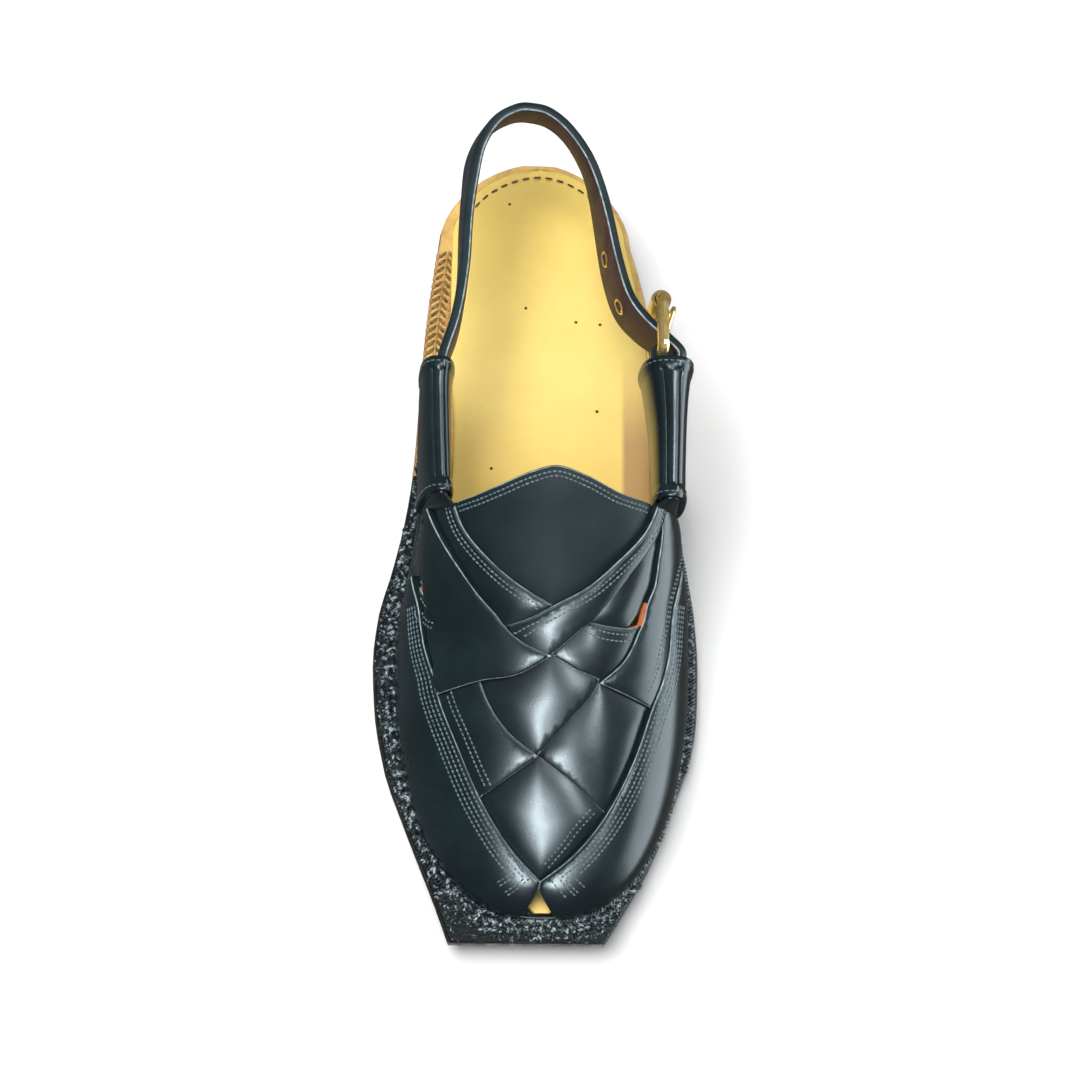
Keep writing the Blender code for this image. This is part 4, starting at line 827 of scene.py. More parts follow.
LEATHER = surface("polished_leather", (0.0035, 0.0090, 0.0115), (0.0075, 0.0190, 0.0235), 0.23, 0.29,
                  spots=60.0, grain=1600.0, strength=0.08, coat=0.05)
TONGUE = surface("tongue_leather", (0.0070, 0.0140, 0.0170), (0.0130, 0.0240, 0.0280), 0.46, 0.54,
                 spots=60.0, grain=1600.0, strength=0.12, gloss=0.25)
STRAP_LEATHER = surface("strap_leather", (0.006, 0.015, 0.019), (0.016, 0.032, 0.038), 0.32, 0.42,
                        spots=70.0, grain=1500.0, strength=0.12, coat=0.08, gloss=0.40)
EDGE = surface("cut_edge", (0.12, 0.17, 0.18), (0.50, 0.60, 0.62), 0.4, 0.6, spots=420.0, strength=0.3)
DARK_EDGE = surface("dark_edge", (0.003, 0.006, 0.007), (0.012, 0.022, 0.024), 0.35, 0.5, spots=300.0,
                    strength=0.3)
LINING = surface("lining", (0.038, 0.019, 0.018), (0.090, 0.046, 0.042), 0.5, 0.7, spots=120.0,
                 strength=0.25)
GAP_LINING = surface("gap_lining", (0.40, 0.10, 0.03), (0.60, 0.20, 0.07), 0.5, 0.7, spots=200.0)
PIPING = surface("piping", (0.012, 0.026, 0.026), (0.04, 0.06, 0.06), 0.25, 0.4, spots=300.0, coat=0.3)
THREAD = surface("thread", (0.04, 0.075, 0.085), (0.22, 0.30, 0.33), 0.35, 0.5, spots=900.0,
                 grain=3000.0, strength=0.3)
DARK_THREAD = surface("dark_thread", (0.03, 0.012, 0.004), (0.10, 0.045, 0.015), 0.5, 0.7, spots=700.0)
BROWN_THREAD = surface("brown_thread", (0.07, 0.03, 0.008), (0.34, 0.20, 0.06), 0.5, 0.7, spots=500.0)
TAN = surface("tan_leather", (0.32, 0.17, 0.06), (0.55, 0.33, 0.13), 0.45, 0.6, spots=120.0, strength=0.2)
BRASS = surface("brass", (0.75, 0.48, 0.13), (0.98, 0.78, 0.36), 0.18, 0.28, spots=300.0, grain=4000.0,
                strength=0.05, metallic=0.85)
SOLE_EDGE = surface("sole_edge", (0.010, 0.010, 0.009), (0.045, 0.036, 0.028), 0.45, 0.7, spots=200.0,
                    strength=0.35)
RUBBER = surface("rubber", (0.010, 0.010, 0.010), (0.022, 0.021, 0.020), 0.6, 0.8, spots=300.0,
                 strength=0.4)
BRAID = braid_material()
INSOLE = insole_material()
WELT = two_part_leather(
    "welt_leather", (-0.088, -0.094),
    (160.0, 3.0, 0.6), ((0.3, (0.48, 0.28, 0.07)), (0.7, (0.75, 0.50, 0.16))),
    (800.0, 3.0, 0.8), ((0.54, (0.002, 0.004, 0.005)), (0.62, (0.010, 0.016, 0.018)),
                        (0.70, (0.55, 0.62, 0.64))), 0.42, (0.8, 0.0006))
TOE_FRONT = CAD_BOX[0][1]
OUTSOLE = two_part_leather(
    "sole_leather", (TOE_FRONT + 0.0012, TOE_FRONT + 0.0004),
    (260.0, 4.0, 0.6), ((0.3, (0.010, 0.010, 0.009)), (0.7, (0.045, 0.036, 0.028))),
    (260.0, 4.0, 0.6), ((0.35, (0.16, 0.12, 0.10)), (0.65, (0.42, 0.36, 0.32))), 0.6, (0.35, 0.0003))

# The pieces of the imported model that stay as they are
KEPT = {
    "welt": WELT, "outsole": OUTSOLE, "heel_block": SOLE_EDGE, "heel_top_piece": RUBBER,
    "chape": STRAP_LEATHER, "eyelet_1": BRASS, "eyelet_2": BRASS, "buckle_frame": BRASS,
    "buckle_roller": BRASS, "buckle_prong": BRASS,
}
for node, made in KEPT.items():
    NODES[node].data.materials.clear()
    NODES[node].data.materials.append(made)


def add_object(name, data):
    """An object in the scene."""
    made = bpy.data.objects.new(name, data)
    bpy.context.scene.collection.objects.link(made)
    return made


def plain_mesh(name, points, faces):
    """A mesh from points and faces."""
    mesh = bpy.data.meshes.new(name)
    mesh.from_pydata([tuple(point) for point in points], [], faces)
    return mesh


def mesh_object(name, points, faces, materials, slot, node=None, indices=None, sharp=40.0):
    """A piece that rides on the shoe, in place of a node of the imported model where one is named."""
    mesh = plain_mesh(name, points, faces)
    for made in materials:
        mesh.materials.append(made)
    if indices:
        mesh.polygons.foreach_set("material_index", indices)
    mesh.shade_smooth()
    mesh.set_sharp_from_angle(angle=math.radians(sharp))
    piece = add_object(name, mesh)
    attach(piece, "root")
    if node:
        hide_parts(node)
    return piece


def loft(rings, flip=False, around=False, ends=(True, True)):
    """Points and faces of a skin through closed rings. Flip turns it over, around joins its ends."""
    sides = len(rings[0])
    points = [point for ring in rings for point in ring]
    faces = []
    for a in range(0, len(points) - (0 if around else sides), sides):
        b = (a + sides) % len(points)
        for side in range(sides):
            nxt = (side + 1) % sides
            faces.append((a + side, a + nxt, b + nxt, b + side))
    start, end = list(range(sides)), list(range(len(points) - sides, len(points)))
    if flip:
        faces = [(face[0], *face[:0:-1]) for face in faces]
        end.reverse()
    else:
        start.reverse()
    if not around:
        faces += [tuple(cap) for cap, wanted in zip((start, end), ends) if wanted]
    return points, faces


def fill_points(cell, turn):
    """Flat points inside a piece: rings close to its edge, then an even grid."""
    loop, following = cell.loop, cell.following
    tangent = following - np.roll(loop, 1, axis=0)
    tangent /= np.maximum(np.linalg.norm(tangent, axis=1), 1e-9)[:, None]
    inward = np.stack([-tangent[:, 1], tangent[:, 0]], axis=1) * turn
    found = []
    for ring in EDGE_RINGS:
        spots = loop + inward * ring
        clear = distances(spots, loop, following)
        found.extend(spots[inside_polygon(spots, loop) & (clear > ring * RING_CLEAR)])
    low, high = loop.min(axis=0), loop.max(axis=0)
    rows = math.ceil((high[1] - low[1]) / (GRID_SPACING * GRID_SQUEEZE))
    columns = math.ceil((high[0] - low[0]) / GRID_SPACING) + 1
    grid = np.array([(low[0] + (column + 0.5 * (row % 2)) * GRID_SPACING,
                      low[1] + row * GRID_SPACING * GRID_SQUEEZE)
                     for row in range(rows) for column in range(columns)])
    grid = grid[inside_polygon(grid, loop)]
    found.extend(grid[distances(grid, loop, following) > GRID_CLEAR])
    return found


def build_cell(cell):
    """One strap, tile or panel: a crowned outer face, rounded cut edges and a lining."""
    loop = cell.loop
    area = np.sum(loop[:, 0] * cell.following[:, 1] - cell.following[:, 0] * loop[:, 1])
    turn = 1.0 if area > 0 else -1.0
    flat_points = [Vector(point) for point in (*loop, *fill_points(cell, turn))]
    face = list(range(len(loop)))
    if turn < 0:
        face.reverse()
    result = delaunay_2d_cdt(flat_points, [], [face], 0, 1e-8, True)
    triangles, origins, sources = result[2], result[3], result[5]
    spots = np.array([tuple(point) for point in result[0]])
    heights, own = cell.heights(spots)
    count = len(spots)
    points = [on_last(*unflat(spot), height) for spot, height in zip(spots, heights)]
    points += [on_last(*unflat(spot), 0.0) for spot in spots]
    faces, indices = [], []
    for triangle, source in zip(triangles, sources):
        if source:
            middle = sum(own[index] for index in triangle) / 3
            faces += [tuple(triangle), tuple(index + count for index in reversed(triangle))]
            indices += [1 if middle < EDGE_ROUND * 0.5 else 0, 2]
    vertex_of = {source: index for index, origin in enumerate(origins) for source in origin}
    for index, kind in enumerate(cell.kinds):
        a, b = vertex_of[index], vertex_of[(index + 1) % len(loop)]
        if turn < 0:
            a, b = b, a
        if a != b:
            faces.append((b, a, a + count, b + count))
            indices.append(3 if kind == "gap" else 4)
    outer = TONGUE if cell.name == "tongue" else LEATHER
    mesh_object(f"upper_{cell.name}", points, faces, (outer, EDGE, LINING, GAP_LINING, DARK_EDGE),
                "upper_leather", "upper", indices)


def bars(name, items, material, slot, node=None):
    """Small rounded strokes, such as stitches: each (centre, direction, normal, length, width, height)."""
    points, faces = [], []
    for centre, direction, normal, length, width, height in items:
        side = direction.cross(normal).normalized()
        first = len(points)
        for share, wide, high in BAR_SECTIONS:
            for turn in range(BAR_SIDES):
                angle = math.pi * turn / (BAR_SIDES - 1)
                points.append(centre + direction * length * share
                              + side * width / 2 * wide * math.cos(angle)
                              + normal * height * high * math.sin(angle))
        last = len(points) - BAR_SIDES
        for ring in range(first, last, BAR_SIDES):
            for a in range(ring, ring + BAR_SIDES - 1):
                faces.append((a, a + BAR_SIDES, a + BAR_SIDES + 1, a + 1))
        faces.append(tuple(range(first, first + BAR_SIDES)))
        faces.append(tuple(reversed(range(last, last + BAR_SIDES))))
        for ring in range(first, last, BAR_SIDES):
            faces.append((ring, ring + BAR_SIDES - 1, ring + 2 * BAR_SIDES - 1, ring + BAR_SIDES))
    mesh_object(name, points, faces, (material,), slot, node, sharp=60.0)


def tube(name, path, normals, width, height, material, slot, node=None, sides=6):
    """A low rounded bead along a path."""
    rings = []
    for index, (point, normal) in enumerate(zip(path, normals)):
        ahead = (path[min(index + 1, len(path) - 1)] - path[max(index - 1, 0)]).normalized()
        side = ahead.cross(normal).normalized()
        angles = [2 * math.pi * turn / sides for turn in range(sides)]
        rings.append([point + side * width / 2 * math.cos(angle) + normal * height / 2 * math.sin(angle)
                      for angle in angles])
    mesh_object(name, *loft(rings), (material,), slot, node, sharp=70.0)


def path_lengths(points):
    """The length of a path up to each of its points."""
    lengths = [0.0]
    for a, b in zip(points, points[1:]):
        lengths.append(lengths[-1] + (b - a).length)
    return lengths


def along_path(points, pitch, start=0.0):
    """Places at a pitch along a path, as (point, direction, share of the path)."""
    lengths = path_lengths(points)
    found = []
    distance = start + pitch / 2
    segment = 0
    while distance < lengths[-1] - pitch * 0.3:
        while segment < len(points) - 2 and lengths[segment + 1] < distance:
            segment += 1
        a, b = points[segment], points[segment + 1]
        span = max(lengths[segment + 1] - lengths[segment], 1e-9)
        found.append((a.lerp(b, (distance - lengths[segment]) / span), (b - a).normalized(),
                      distance / lengths[-1]))
        distance += pitch
    return found


def chain_places(chain):
    """Places along a run of named corners."""
    names = chain.split()
    spots = [spot for a, b in zip(names, names[1:]) for spot in edge_span(a, b)]
    return spots + [corner_place(names[-1])]


def square_to(spots, index, reach):
    """The direction square to a run of places, over the last."""
    after, before = spots[min(index + reach, len(spots) - 1)], spots[max(index - reach, 0)]
    ahead = last_point(*after) - last_point(*before)
    return ahead.cross(last_normal(*spots[index])).normalized()


def offset_chain(spots, distance, cell):
    """A run of places moved over the last by a distance into the piece that it belongs to."""
    for side in (1, -1):
        moved = [shifted(spot, square_to(spots, index, 2) * side, distance)
                 for index, spot in enumerate(spots)]
        held = inside_polygon(np.array([flat(spot) for spot in moved]), cell.loop)
        if held.mean() > 0.5:
            return [spot for spot, keep in zip(moved, held) if keep]
    return moved


def raised_path(spots, cell):
    """Points on the outer face of a piece and their outward directions."""
    heights, _ = cell.heights(np.array([flat(spot) for spot in spots]))
    path = [on_last(*spot, height) for spot, height in zip(spots, heights)]
    return path, [last_normal(*spot) for spot in spots]


def loose_path(spots):
    """Points and outward directions along places that may cross several pieces of the weave."""
    path, normals = [], []
    for spot in spots:
        cell = cell_at(spot)
        if cell:
            points, outward = raised_path([spot], cell)
            path += points
            normals += outward
    return path, normals


def stitches(path, normals, length=STITCH_LENGTH):
    """Stitches along a path on the upper."""
    return [(point, direction, normals[round(share * (len(normals) - 1))], length, STITCH_WIDTH,
             STITCH_WIDTH * STITCH_RISE)
            for point, direction, share in along_path(path, STITCH_PITCH)]


def returned_row(chain, cell, offset, number):
    """A stitch row along a chain that stops short of its end, and its turn away from the edge."""
    spots = chain_places(chain)
    stop = RETURN_STOP + RETURN_STEP * number
    while len(spots) > 4 and stop > 0:
        stop -= (last_point(*spots[-1]) - last_point(*spots[-2])).length
        spots = spots[:-1]
    row = offset_chain(spots, offset, cell)
    end = spots[-1]
    across = square_to(spots, len(spots) - 1, 3)
    if not inside_polygon(np.array([flat(shifted(end, across, offset))]), cell.loop)[0]:
        across = -across
    turned = [shifted(end, across, offset + (RETURN_END - offset) * step / 8) for step in range(9)]
    return row, turned


def build_seams():
    """All rows of stitches on the upper."""
    items = []
    for name, chain, offsets in RETURNS:
        for number, offset in enumerate(offsets):
            for row in returned_row(chain, WEAVE[name], offset / 1000, number):
                items += stitches(*raised_path(row, WEAVE[name]))
    for shift, places in LOOSE_SEAMS:
        spots = [unflat(Vector(row)) for row in smooth_route([tuple(flat(spot)) for spot in places], 10)]
        for distance in (0.0, shift / 1000):
            moved = [shifted(spot, square_to(spots, index, 1), distance)
                     for index, spot in enumerate(spots)]
            items += stitches(*loose_path(moved), STITCH_LENGTH * 0.8)
    for name, chain, offsets in SEAMS:
        for offset in offsets:
            moved = offset_chain(chain_places(chain), offset / 1000, WEAVE[name])
            items += stitches(*raised_path(moved, WEAVE[name]))
    bars("upper_stitches", items, THREAD, "upper_leather", "upper")


for cell in WEAVE.values():
    build_cell(cell)
build_seams()
for name, chain, offset, width in PIPINGS:
    spots = offset_chain(chain_places(chain), offset / 1000, WEAVE[name])
    tube(f"{name}_piping", *raised_path(spots, WEAVE[name]), width / 1000, width / 1000 * 0.8, PIPING,
         "upper_leather", "upper")


# Welt: a bead where the upper meets it, a herringbone braid and a rougher outer braid
def welt_spot(turn, distance):
    """A point on the welt's top, a distance outside the feather."""
    point = last_point(*feather_place(turn)) + feather_outward(turn) * distance
    point.z = feather_height(HEEL_SETBACK - point.y) - GAP
    return point


def outline_room(point):
    """How far a point on the welt lies inside the outline of the sole, sideways."""
    along = HEEL_SETBACK - point.y
    inner = read_table(SOLE_OUTLINE, 1, along / SOLE_LENGTH) * HALF_BALL
    outer = read_table(SOLE_OUTLINE, 2, along / SOLE_LENGTH) * HALF_BALL
    return min(outer - point.x, point.x + inner, SOLE_OUTLINE[-1][0] * SOLE_LENGTH - along)


def build_braids():
    """The bead, the herringbone rows and the rough rows, each stroke slightly let into the welt."""
    random.seed(7)
    first, last = FEATHER_TURNS["feather_wing_out"] + 0.03, FEATHER_TURNS["feather_wing_in"] - 0.03
    turns = [first + (last - first) * step / 900 for step in range(901)]
    bead = [welt_spot(turn, BEAD_OUT) + UP * BEAD_RISE for turn in turns[::3]]
    tube("welt_bead", bead, [UP] * len(bead), BEAD_SIZE, BEAD_SIZE, PIPING, "welt_leather", sides=8)
    items = []
    for distance, slant in BRAID_ROWS:
        path = [welt_spot(turn, distance) for turn in turns]
        for point, direction, share in along_path(path, BRAID_PITCH):
            outward = direction.cross(UP).normalized()
            if outward.dot(feather_outward(first + (last - first) * share)) < 0:
                outward = -outward
            if outline_room(point) > BRAID_ROOM:
                items.append((point + UP * 0.0002, (outward + direction * slant).normalized(), UP,
                              *BRAID_STROKE))
    bars("welt_braid", items, BRAID, "welt_leather")
    items = []
    for distance in ROUGH_ROWS:
        path = [welt_spot(turn, distance) for turn in turns]
        for point, _, _ in along_path(path, ROUGH_PITCH):
            shift = Vector((random.uniform(-ROUGH_SHIFT, ROUGH_SHIFT),
                            random.uniform(-ROUGH_SHIFT, ROUGH_SHIFT), 0.0))
            angle = random.uniform(0, math.pi)
            stroke = Vector((math.cos(angle), math.sin(angle), 0.0))
            if outline_room(point) > ROUGH_ROOM:
                items.append((point + shift + UP * 0.0001, stroke, UP, random.uniform(*ROUGH_LENGTHS),
                              ROUGH_WIDTH, random.uniform(*ROUGH_HEIGHTS)))
    bars("welt_rough_braid", items, BRAID, "welt_leather")


# Sleeves: wrapped tubes with two lengthwise ridges and stitched rims
def sleeve_ring(rows, along, sides, power, grow, grooved=False):
    """A ring of a sleeve's section, grown by a distance, with two grooves along its top if wanted."""
    keyed = sorted((row[1], *row) for row in rows)
    across, middle, width, lean = (read_table(keyed, column, along) for column in (1, 3, 4, 5))
    ring = []
    for turn in range(sides):
        angle = 2 * math.pi * turn / sides
        wide = math.copysign(abs(math.cos(angle)) ** power, math.cos(angle))
        tall = math.copysign(abs(math.sin(angle)) ** power, math.sin(angle))
        fold = 0.0
        if grooved and math.sin(angle) > 0.5:
            fold = -GROOVE_DEPTH * sum(math.exp(-((wide - groove) / GROOVE_WIDTH) ** 2)
                                       for groove in GROOVES)
        x = wide * (width * STRAP_HEIGHT / 2 + grow)
        z = tall * (SLEEVE_HEIGHT / 2 + grow + fold)
        leant = x - math.copysign(lean, rows[0][0]) * z
        ring.append(place(across * HALF_BALL + leant, along * SOLE_LENGTH, middle * INSTEP_HEIGHT + z))
    return ring


def build_sleeve(name, rows, node):
    """One sleeve: an outer skin with raised rims, an inner skin and stitches round each rim."""
    front, rear = rows[0][1], rows[-1][1]
    rim = SLEEVE_RIM / SOLE_LENGTH
    blend = 0.25 * rim
    start, end = front - rim - blend, rear + rim + blend
    stops = [front, front - rim * 0.12, front - rim * 0.5, front - rim, start]
    stops += [start + (end - start) * step / SLEEVE_STATIONS for step in range(1, SLEEVE_STATIONS)]
    stops += [end, rear + rim, rear + rim * 0.5, rear + rim * 0.12, rear]
    outer, inner = [], []
    for number, along in enumerate(stops):
        on_rim = number < 4 or number > len(stops) - 5
        raised = LIP_RISE if along in (front, rear) else RIM_RISE if on_rim else 0.0
        outer.append(sleeve_ring(rows, along, SLEEVE_SIDES, SLEEVE_POWER, raised, not on_rim))
        inner.append(sleeve_ring(rows, along, SLEEVE_SIDES, SLEEVE_POWER, -SLEEVE_WALL))
    rings = outer + inner[::-1]
    indices = [2 if len(stops) <= ring < len(rings) - 1 else 0
               for ring in range(len(rings)) for _ in range(SLEEVE_SIDES)]
    mesh_object(name, *loft(rings, flip=True, around=True), (LEATHER, EDGE, LINING), "upper_leather", node,
                indices)
    items = []
    for ring in (outer[2], outer[-3]):
        centre = sum(ring, Vector()) / SLEEVE_SIDES
        for point, direction, _ in along_path([*ring, ring[0]], RIM_STITCH_PITCH):
            normal = (point - centre).normalized()
            normal = (normal - direction * normal.dot(direction)).normalized()
            items.append((point, direction, normal, *RIM_STITCH))
    bars(f"{name}_stitches", items, THREAD, "upper_leather", node)


def even_loop(points, count):
    """A closed loop of points read evenly, from its highest point round."""
    top = max(range(len(points)), key=lambda index: points[index].z)
    turned = points[top:] + points[:top] + [points[top]]
    lengths = path_lengths(turned)
    found, segment = [], 0
    for step in range(count):
        distance = lengths[-1] * step / count
        while lengths[segment + 1] < distance:
            segment += 1
        span = max(lengths[segment + 1] - lengths[segment], 1e-9)
        found.append(turned[segment].lerp(turned[segment + 1], (distance - lengths[segment]) / span))
    return found


def turns_left(loop):
    """Which way round a loop of points runs, seen from the toe."""
    return sum(a.x * b.z - b.x * a.z for a, b in zip(loop, loop[1:] + loop[:1])) > 0


def build_bunch(name, rows, corners):
    """The ends of the straps, gathered into the front of a sleeve."""
    chain = [CROSSINGS[corner] for corner in corners.split()]
    spots = [(a[0] + (b[0] - a[0]) * step / 10, a[1] + (b[1] - a[1]) * step / 10)
             for a, b in zip(chain, chain[1:]) for step in range(10)] + chain[-1:]
    rim = [on_last(*spot, 0.0024) for spot in spots]
    rim += [on_last(*spot, 0.0002) for spot in reversed(spots)]
    mouth = even_loop([point + Vector((0, -0.0016, 0)) for point in rim], BUNCH_POINTS)
    front, back = (even_loop(sleeve_ring(rows, along, 64, 0.6, -SLEEVE_WALL - GAP), BUNCH_POINTS)
                   for along in (rows[0][1], rows[0][1] - BUNCH_DEPTH))
    if turns_left(mouth) != turns_left(front):
        mouth = mouth[:1] + mouth[:0:-1]
    rings = []
    for step in range(BUNCH_STEPS + 1):
        share = step / BUNCH_STEPS
        ease = share * share * (3 - 2 * share)
        rings.append([a.lerp(b, ease) for a, b in zip(mouth, front)])
    points, faces = loft([*rings, back], ends=(False, True))
    mesh_object(name, points, faces, (LEATHER,), "upper_leather", "upper", sharp=60.0)


def build_wing_strip(name, side):
    """A tan strip stitched inside the wing, beside the foot bed."""
    alongs = [WING_STRIP[0] + (WING_STRIP[1] - WING_STRIP[0]) * step / 30 for step in range(31)]
    points = [on_last(side * share, along, -0.0005) for along in alongs for share in WING_SHARES]
    width = len(WING_SHARES)
    faces = [(a, a + 1, a + width + 1, a + width)
             for row in range(0, len(points) - width, width) for a in range(row, row + width - 1)]
    piece = mesh_object(name, points, faces, (TAN,), "insole_leather")
    solid = piece.modifiers.new("thickness", "SOLIDIFY")
    solid.thickness = 0.0008
    solid.offset = 0.0
    seam = side * WING_SEAM
    items = []
    path = [on_last(seam, along, -0.0011) for along in alongs]
    for point, direction, _ in along_path(path, WING_PITCH):
        normal = -last_normal(seam, (HEEL_SETBACK - point.y) / SOLE_LENGTH)
        items.append((point, direction, normal, *WING_STITCH))
    bars(f"{name}_stitches", items, DARK_THREAD, "insole_leather")


# Heel strap: outer leather and lining with rounded edges
def strap_stations():
    """Stations of the strap from end to end: top of its outer face, forward, outward and upward."""
    route = smooth_route(STRAP_ROUTE, 8)
    tops = [place(a * HALF_BALL, s * SOLE_LENGTH, h * INSTEP_HEIGHT) for a, s, h, _ in route]
    stations = []
    for index, top in enumerate(tops):
        ahead = tops[min(index + 1, len(tops) - 1)] - tops[max(index - 1, 0)]
        ahead.z = 0.0
        ahead.normalize()
        outward = Vector((-ahead.y, ahead.x, 0.0))
        down = (-UP + outward * route[index][3]).normalized()
        face = down.cross(ahead).normalized()
        stations.append((top, ahead, face if face.dot(outward) >= 0 else -face, -down))
    return stations


STATIONS = strap_stations()


def strap_circle(share, depth, radius, count, out=0.0):
    """A circle round the strap's middle line at a share of its length, a depth under its outer face."""
    top, ahead, face, up = STATIONS[round(share * (len(STATIONS) - 1))]
    centre = top - up * STRAP_HEIGHT / 2 - face * depth + face * out
    angles = [2 * math.pi * turn / count for turn in range(count)]
    return [centre + ahead * radius * math.cos(angle) + up * radius * math.sin(angle) for angle in angles]


def build_strap():
    """The heel strap with its three holes."""
    rings = [[top - up * STRAP_HEIGHT * height - face * STRAP_THICK * depth
              for height, depth, _ in STRAP_SECTION] for top, _, face, up in STATIONS]
    indices = [row[2] for row in STRAP_SECTION] * (len(rings) - 1) + [1, 1]
    piece = mesh_object("heel_strap_leather", *loft(rings, flip=True), (STRAP_LEATHER, EDGE, LINING),
                        "strap_leather", "heel_strap", indices)
    for share in (*EYELET_PLACES, PRONG_HOLE_PLACE):
        ends = [strap_circle(share, STRAP_THICK / 2, HOLE_RADIUS, HOLE_SIDES, out)
                for out in (-STRAP_THICK, STRAP_THICK)]
        guide = add_object("hole", plain_mesh("hole", *loft(ends)))
        change = piece.modifiers.new("hole", "BOOLEAN")
        change.operation = "DIFFERENCE"
        change.object = guide
        with bpy.context.temp_override(object=piece, active_object=piece, selected_objects=[piece]):
            bpy.ops.object.modifier_apply(modifier=change.name)
        bpy.data.objects.remove(guide, do_unlink=True)


def build_eyelet_rings():
    """Rings round the eyelet holes on the lining side of the heel strap."""
    for number, share in enumerate(EYELET_PLACES, 1):
        circle = strap_circle(share, STRAP_THICK + 0.0002, EYELET_RADIUS, EYELET_SIDES)
        face = STATIONS[round(share * (len(STATIONS) - 1))][2]
        loop = circle + circle[:2]
        tube(f"eyelet_ring_{number}", loop, [-face] * len(loop), *EYELET_RING, BRASS, "brass")


# Foot bed: a dished leather board with rounded edges, dark stitches round the heel and nail heads
def bed_height(share, along):
    """Height of the foot bed's top; share runs from -1 at the inner edge to 1 at the outer."""
    fade = min(1.0, max(0.0, (0.60 - along / SOLE_LENGTH) / 0.12))
    return feather_height(along) + INSOLE_THICK - BED_DISH * fade * (1 - share * share)


def bed_halves(share):
    """How far the foot bed reaches to the inner and the outer side behind the vamp."""
    return [read_table(INSOLE_OUTLINE, column, share) * HALF_BALL for column in (1, 2)]


def bed_pairs():
    """Inner and outer edge of the foot bed from heel to toe."""
    pairs = []
    end, last = INSOLE_OUTLINE[0][0], INSOLE_OUTLINE[-1][0]
    for turn in range(22):
        angle = math.radians(4) + (math.pi / 2 - math.radians(4)) * turn / 22
        depth = 1 - math.cos(angle)
        wide = (1 - (1 - depth) ** HEEL_ROUND_POWER) ** (1 / HEEL_ROUND_POWER)
        inner, outer = bed_halves(end)
        along = INSOLE_SETBACK + (end * SOLE_LENGTH - INSOLE_SETBACK) * depth
        pairs.append((-inner * wide, outer * wide, along))
    for step in range(50):
        share = end + (last - end) * step / 50
        inner, outer = bed_halves(share)
        pairs.append((-inner, outer, share * SOLE_LENGTH))
    for step in range(24):
        share = last + (FAN_START - last) * step / 24
        blend = max(0.0, (1 - step / 24) * 1.5 - 0.5)
        room = [read_table(LAST, column, share) * HALF_BALL - BED_CLEARANCE for column in (1, 2)]
        inner, outer = (half * blend + free * (1 - blend) for half, free in zip(bed_halves(last), room))
        pairs.append((-inner, outer, share * SOLE_LENGTH))
    shrink = 1 - BED_CLEARANCE / (FAN_REACH * SOLE_LENGTH)
    narrow = 1 - BED_CLEARANCE / (LAST[-1][1] * HALF_BALL)
    for step in range(40):
        turn = 0.5 * step / 40
        outer = last_point(*feather_place(turn))
        inner = last_point(*feather_place(1 - turn))
        forward = FAN_START * SOLE_LENGTH + (HEEL_SETBACK - outer.y - FAN_START * SOLE_LENGTH) * shrink
        forward += PEEP_LIP * min(1.0, max(0.0, (PEEP_HALF - abs(outer.x)) / PEEP_BLEND))
        pairs.append((inner.x * narrow, outer.x * narrow, forward))
    return pairs


def build_foot_bed():
    """The board of the foot bed, ring by ring from heel to toe."""
    rings = []
    for inner, outer, along in bed_pairs():
        half = (outer - inner) / 2
        side = [(min(inset, half * 0.5), feather_height(along) + INSOLE_THICK * share)
                for share, inset in BED_SIDE]
        ring = [place(inner + inset, along, height) for inset, height in side]
        for column in range(1, BED_COLUMNS):
            share = -1 + 2 * column / BED_COLUMNS
            x = (inner + outer) / 2 + (half - BED_SIDE[-1][1]) * share
            ring.append(place(x, along, bed_height(share, along)))
        rings.append(ring + [place(outer - inset, along, height) for inset, height in reversed(side)])
    mesh_object("foot_bed", *loft(rings, flip=True), (INSOLE,), "insole_leather", "insole", sharp=50.0)


def bed_seam(distance):
    """A path round the heel end of the foot bed, inside its edge."""
    start = INSOLE_OUTLINE[0][0]
    shares = [start + 0.12 * row / 8 for row in range(9)]
    path = [(distance - bed_halves(share)[0], share * SOLE_LENGTH) for share in reversed(shares)]
    end = start * SOLE_LENGTH
    for step in range(1, 24):
        wide = math.cos(math.pi * step / 24)
        depth = (1 - abs(wide) ** HEEL_ROUND_POWER) ** (1 / HEEL_ROUND_POWER)
        half = bed_halves(start)[0 if wide > 0 else 1] - distance
        path.append((-wide * half, end - (end - INSOLE_SETBACK - distance) * depth))
    path += [(bed_halves(share)[1] - distance, share * SOLE_LENGTH) for share in shares]
    return [place(x, along, feather_height(along) + INSOLE_THICK) for x, along in path]


def build_bed_trim():
    """Stitches round the heel of the foot bed and small nail heads let into it."""
    items = [(point, direction, UP, *BED_STITCH)
             for point, direction, _ in along_path(bed_seam(BED_SEAM_IN), BED_STITCH_PITCH)]
    bars("foot_bed_stitches", items, DARK_THREAD, "insole_leather")
    items = []
    for x, along in NAILS:
        inner, outer = bed_halves(along / SOLE_LENGTH)
        share = (x - (outer - inner) / 2) / ((outer + inner) / 2)
        point = place(x, along, bed_height(share, along))
        items += [(point, Vector((math.cos(angle), math.sin(angle), 0.0)), UP, *NAIL_STROKE)
                  for angle in (0.0, math.pi / 2)]
    bars("foot_bed_nails", items, DARK_THREAD, "insole_leather")


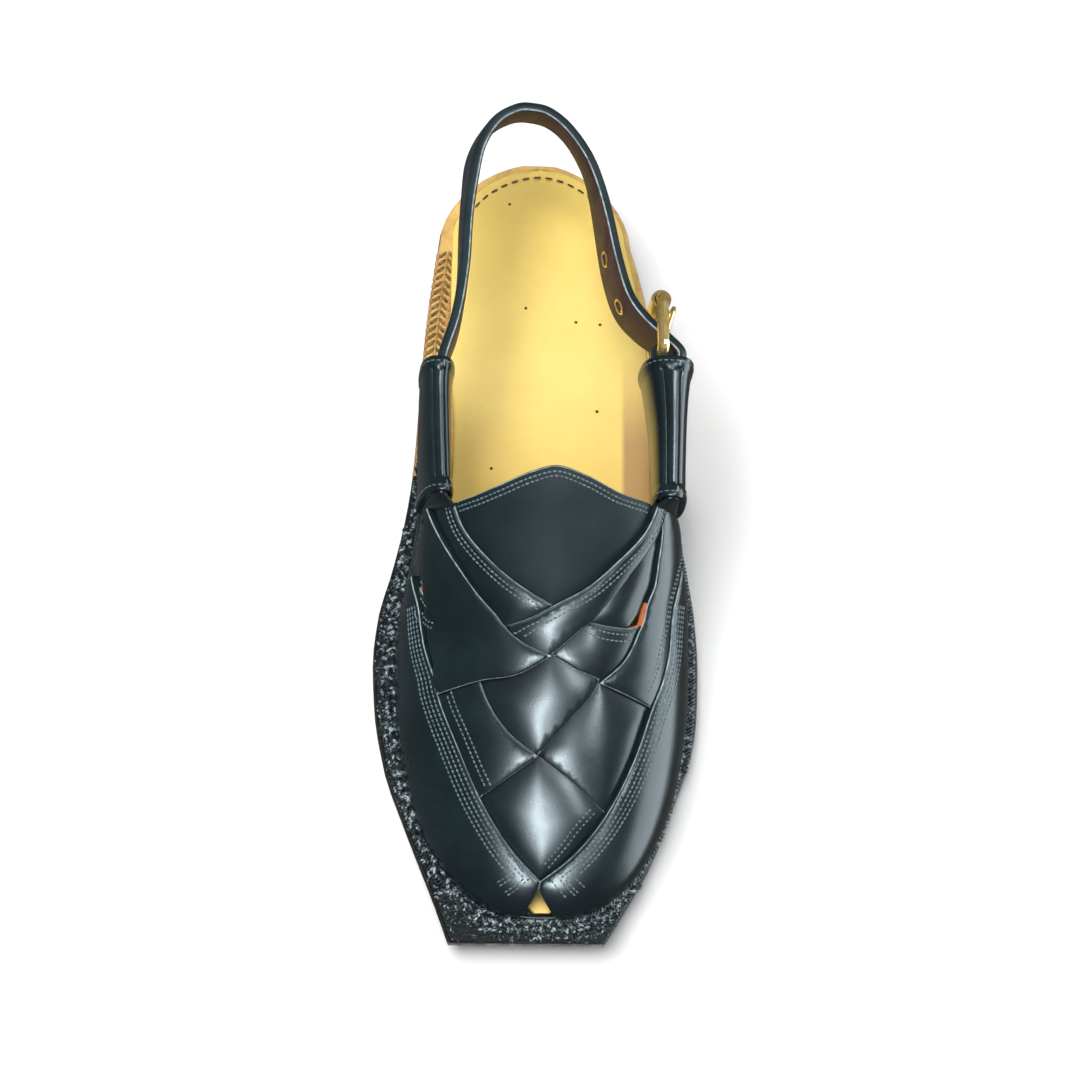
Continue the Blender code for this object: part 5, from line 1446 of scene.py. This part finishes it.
# Braided stitching on the inner side of the rim behind the vamp
def rim_places(distance, start=0.0):
    """Places along the inner rim, a distance inside the sole's edge."""
    path = []
    for step in range(120):
        share = RIM_START + RIM_LENGTH * step / 119
        x = -read_table(SOLE_OUTLINE, 1, share) * HALF_BALL + distance
        path.append(place(x, share * SOLE_LENGTH, feather_height(share * SOLE_LENGTH) - GAP))
    return [(point + UP * 0.0001, direction) for point, direction, _ in along_path(path, RIM_PITCH, start)]


def build_rim_braid():
    """Two slanted rows and three straight rows of thread."""
    items = []
    for distance, slant in RIM_ROWS:
        for point, direction in rim_places(distance):
            stroke = (direction.cross(UP).normalized() + direction * slant).normalized()
            items.append((point, stroke, UP, *RIM_SLANTED))
    bars("rim_braid", items, BROWN_THREAD, "welt_leather")
    items = [(point, direction, UP, *RIM_STRAIGHT)
             for distance in RIM_LINES for point, direction in rim_places(distance, 0.0008)]
    bars("rim_braid_tan", items, TAN, "welt_leather")


build_braids()
for side, rows in (("inner", SLEEVE_IN), ("outer", SLEEVE_OUT)):
    build_sleeve(f"sleeve_{side}_leather", rows, f"sleeve_{side}")
build_bunch("bunch_inner", SLEEVE_IN, "collar_in third_start bunch_in")
build_bunch("bunch_outer", SLEEVE_OUT, "collar_out band_start bunch_out")
build_wing_strip("wing_strip_inner", -1)
build_wing_strip("wing_strip_outer", 1)
build_strap()
build_foot_bed()
build_bed_trim()
build_rim_braid()
build_eyelet_rings()

# Floor, light and camera
corners = [(-4, -4, 0), (4, -4, 0), (4, 4, 0), (-4, 4, 0)]
floor = add_object("floor", plain_mesh("floor", corners, [(0, 1, 2, 3)]))
floor_made, floor_tree, floor_shader = shader_of("floor")
set_sockets(floor_tree, floor_shader, None, {"Base Color": (0.93, 0.93, 0.93, 1.0), "Roughness": 0.9})
floor.data.materials.append(floor_made)
floor.visible_glossy = False

for name, direction, distance, width, height, power, glossy, diffuse in LAMPS:
    light = bpy.data.lights.new(name, "AREA")
    light.shape = "RECTANGLE"
    light.size, light.size_y = width, height
    light.energy = power
    light.color = LAMP_TINT if diffuse else CARD_TINT
    lamp = add_object(name, light)
    lamp.location = AIM + Vector(direction).normalized() * distance
    lamp.rotation_euler = (AIM - lamp.location).to_track_quat("-Z", "Y").to_euler()
    lamp.visible_glossy = glossy
    lamp.visible_diffuse = diffuse

world = bpy.data.worlds.new("studio")
world.use_nodes = True
set_sockets(world.node_tree, world.node_tree.nodes["Background"], None, {
    "Color": (1.0, 1.0, 1.0, 1.0), "Strength": WORLD_LIGHT})
bpy.context.scene.world = world
bpy.context.scene.view_settings.view_transform = "Standard"

lens = bpy.data.cameras.new("camera")
lens.sensor_width = SENSOR
lens.lens = SENSOR * FOCUS_PIXELS / FRAME_PIXELS
camera = add_object("camera", lens)
camera.location = TARGET + AWAY
back = AWAY.normalized()
right = Vector((0, 1, 0)).cross(back).normalized()
camera.rotation_euler = Matrix((right, back.cross(right), back)).transposed().to_euler()
bpy.context.scene.camera = camera
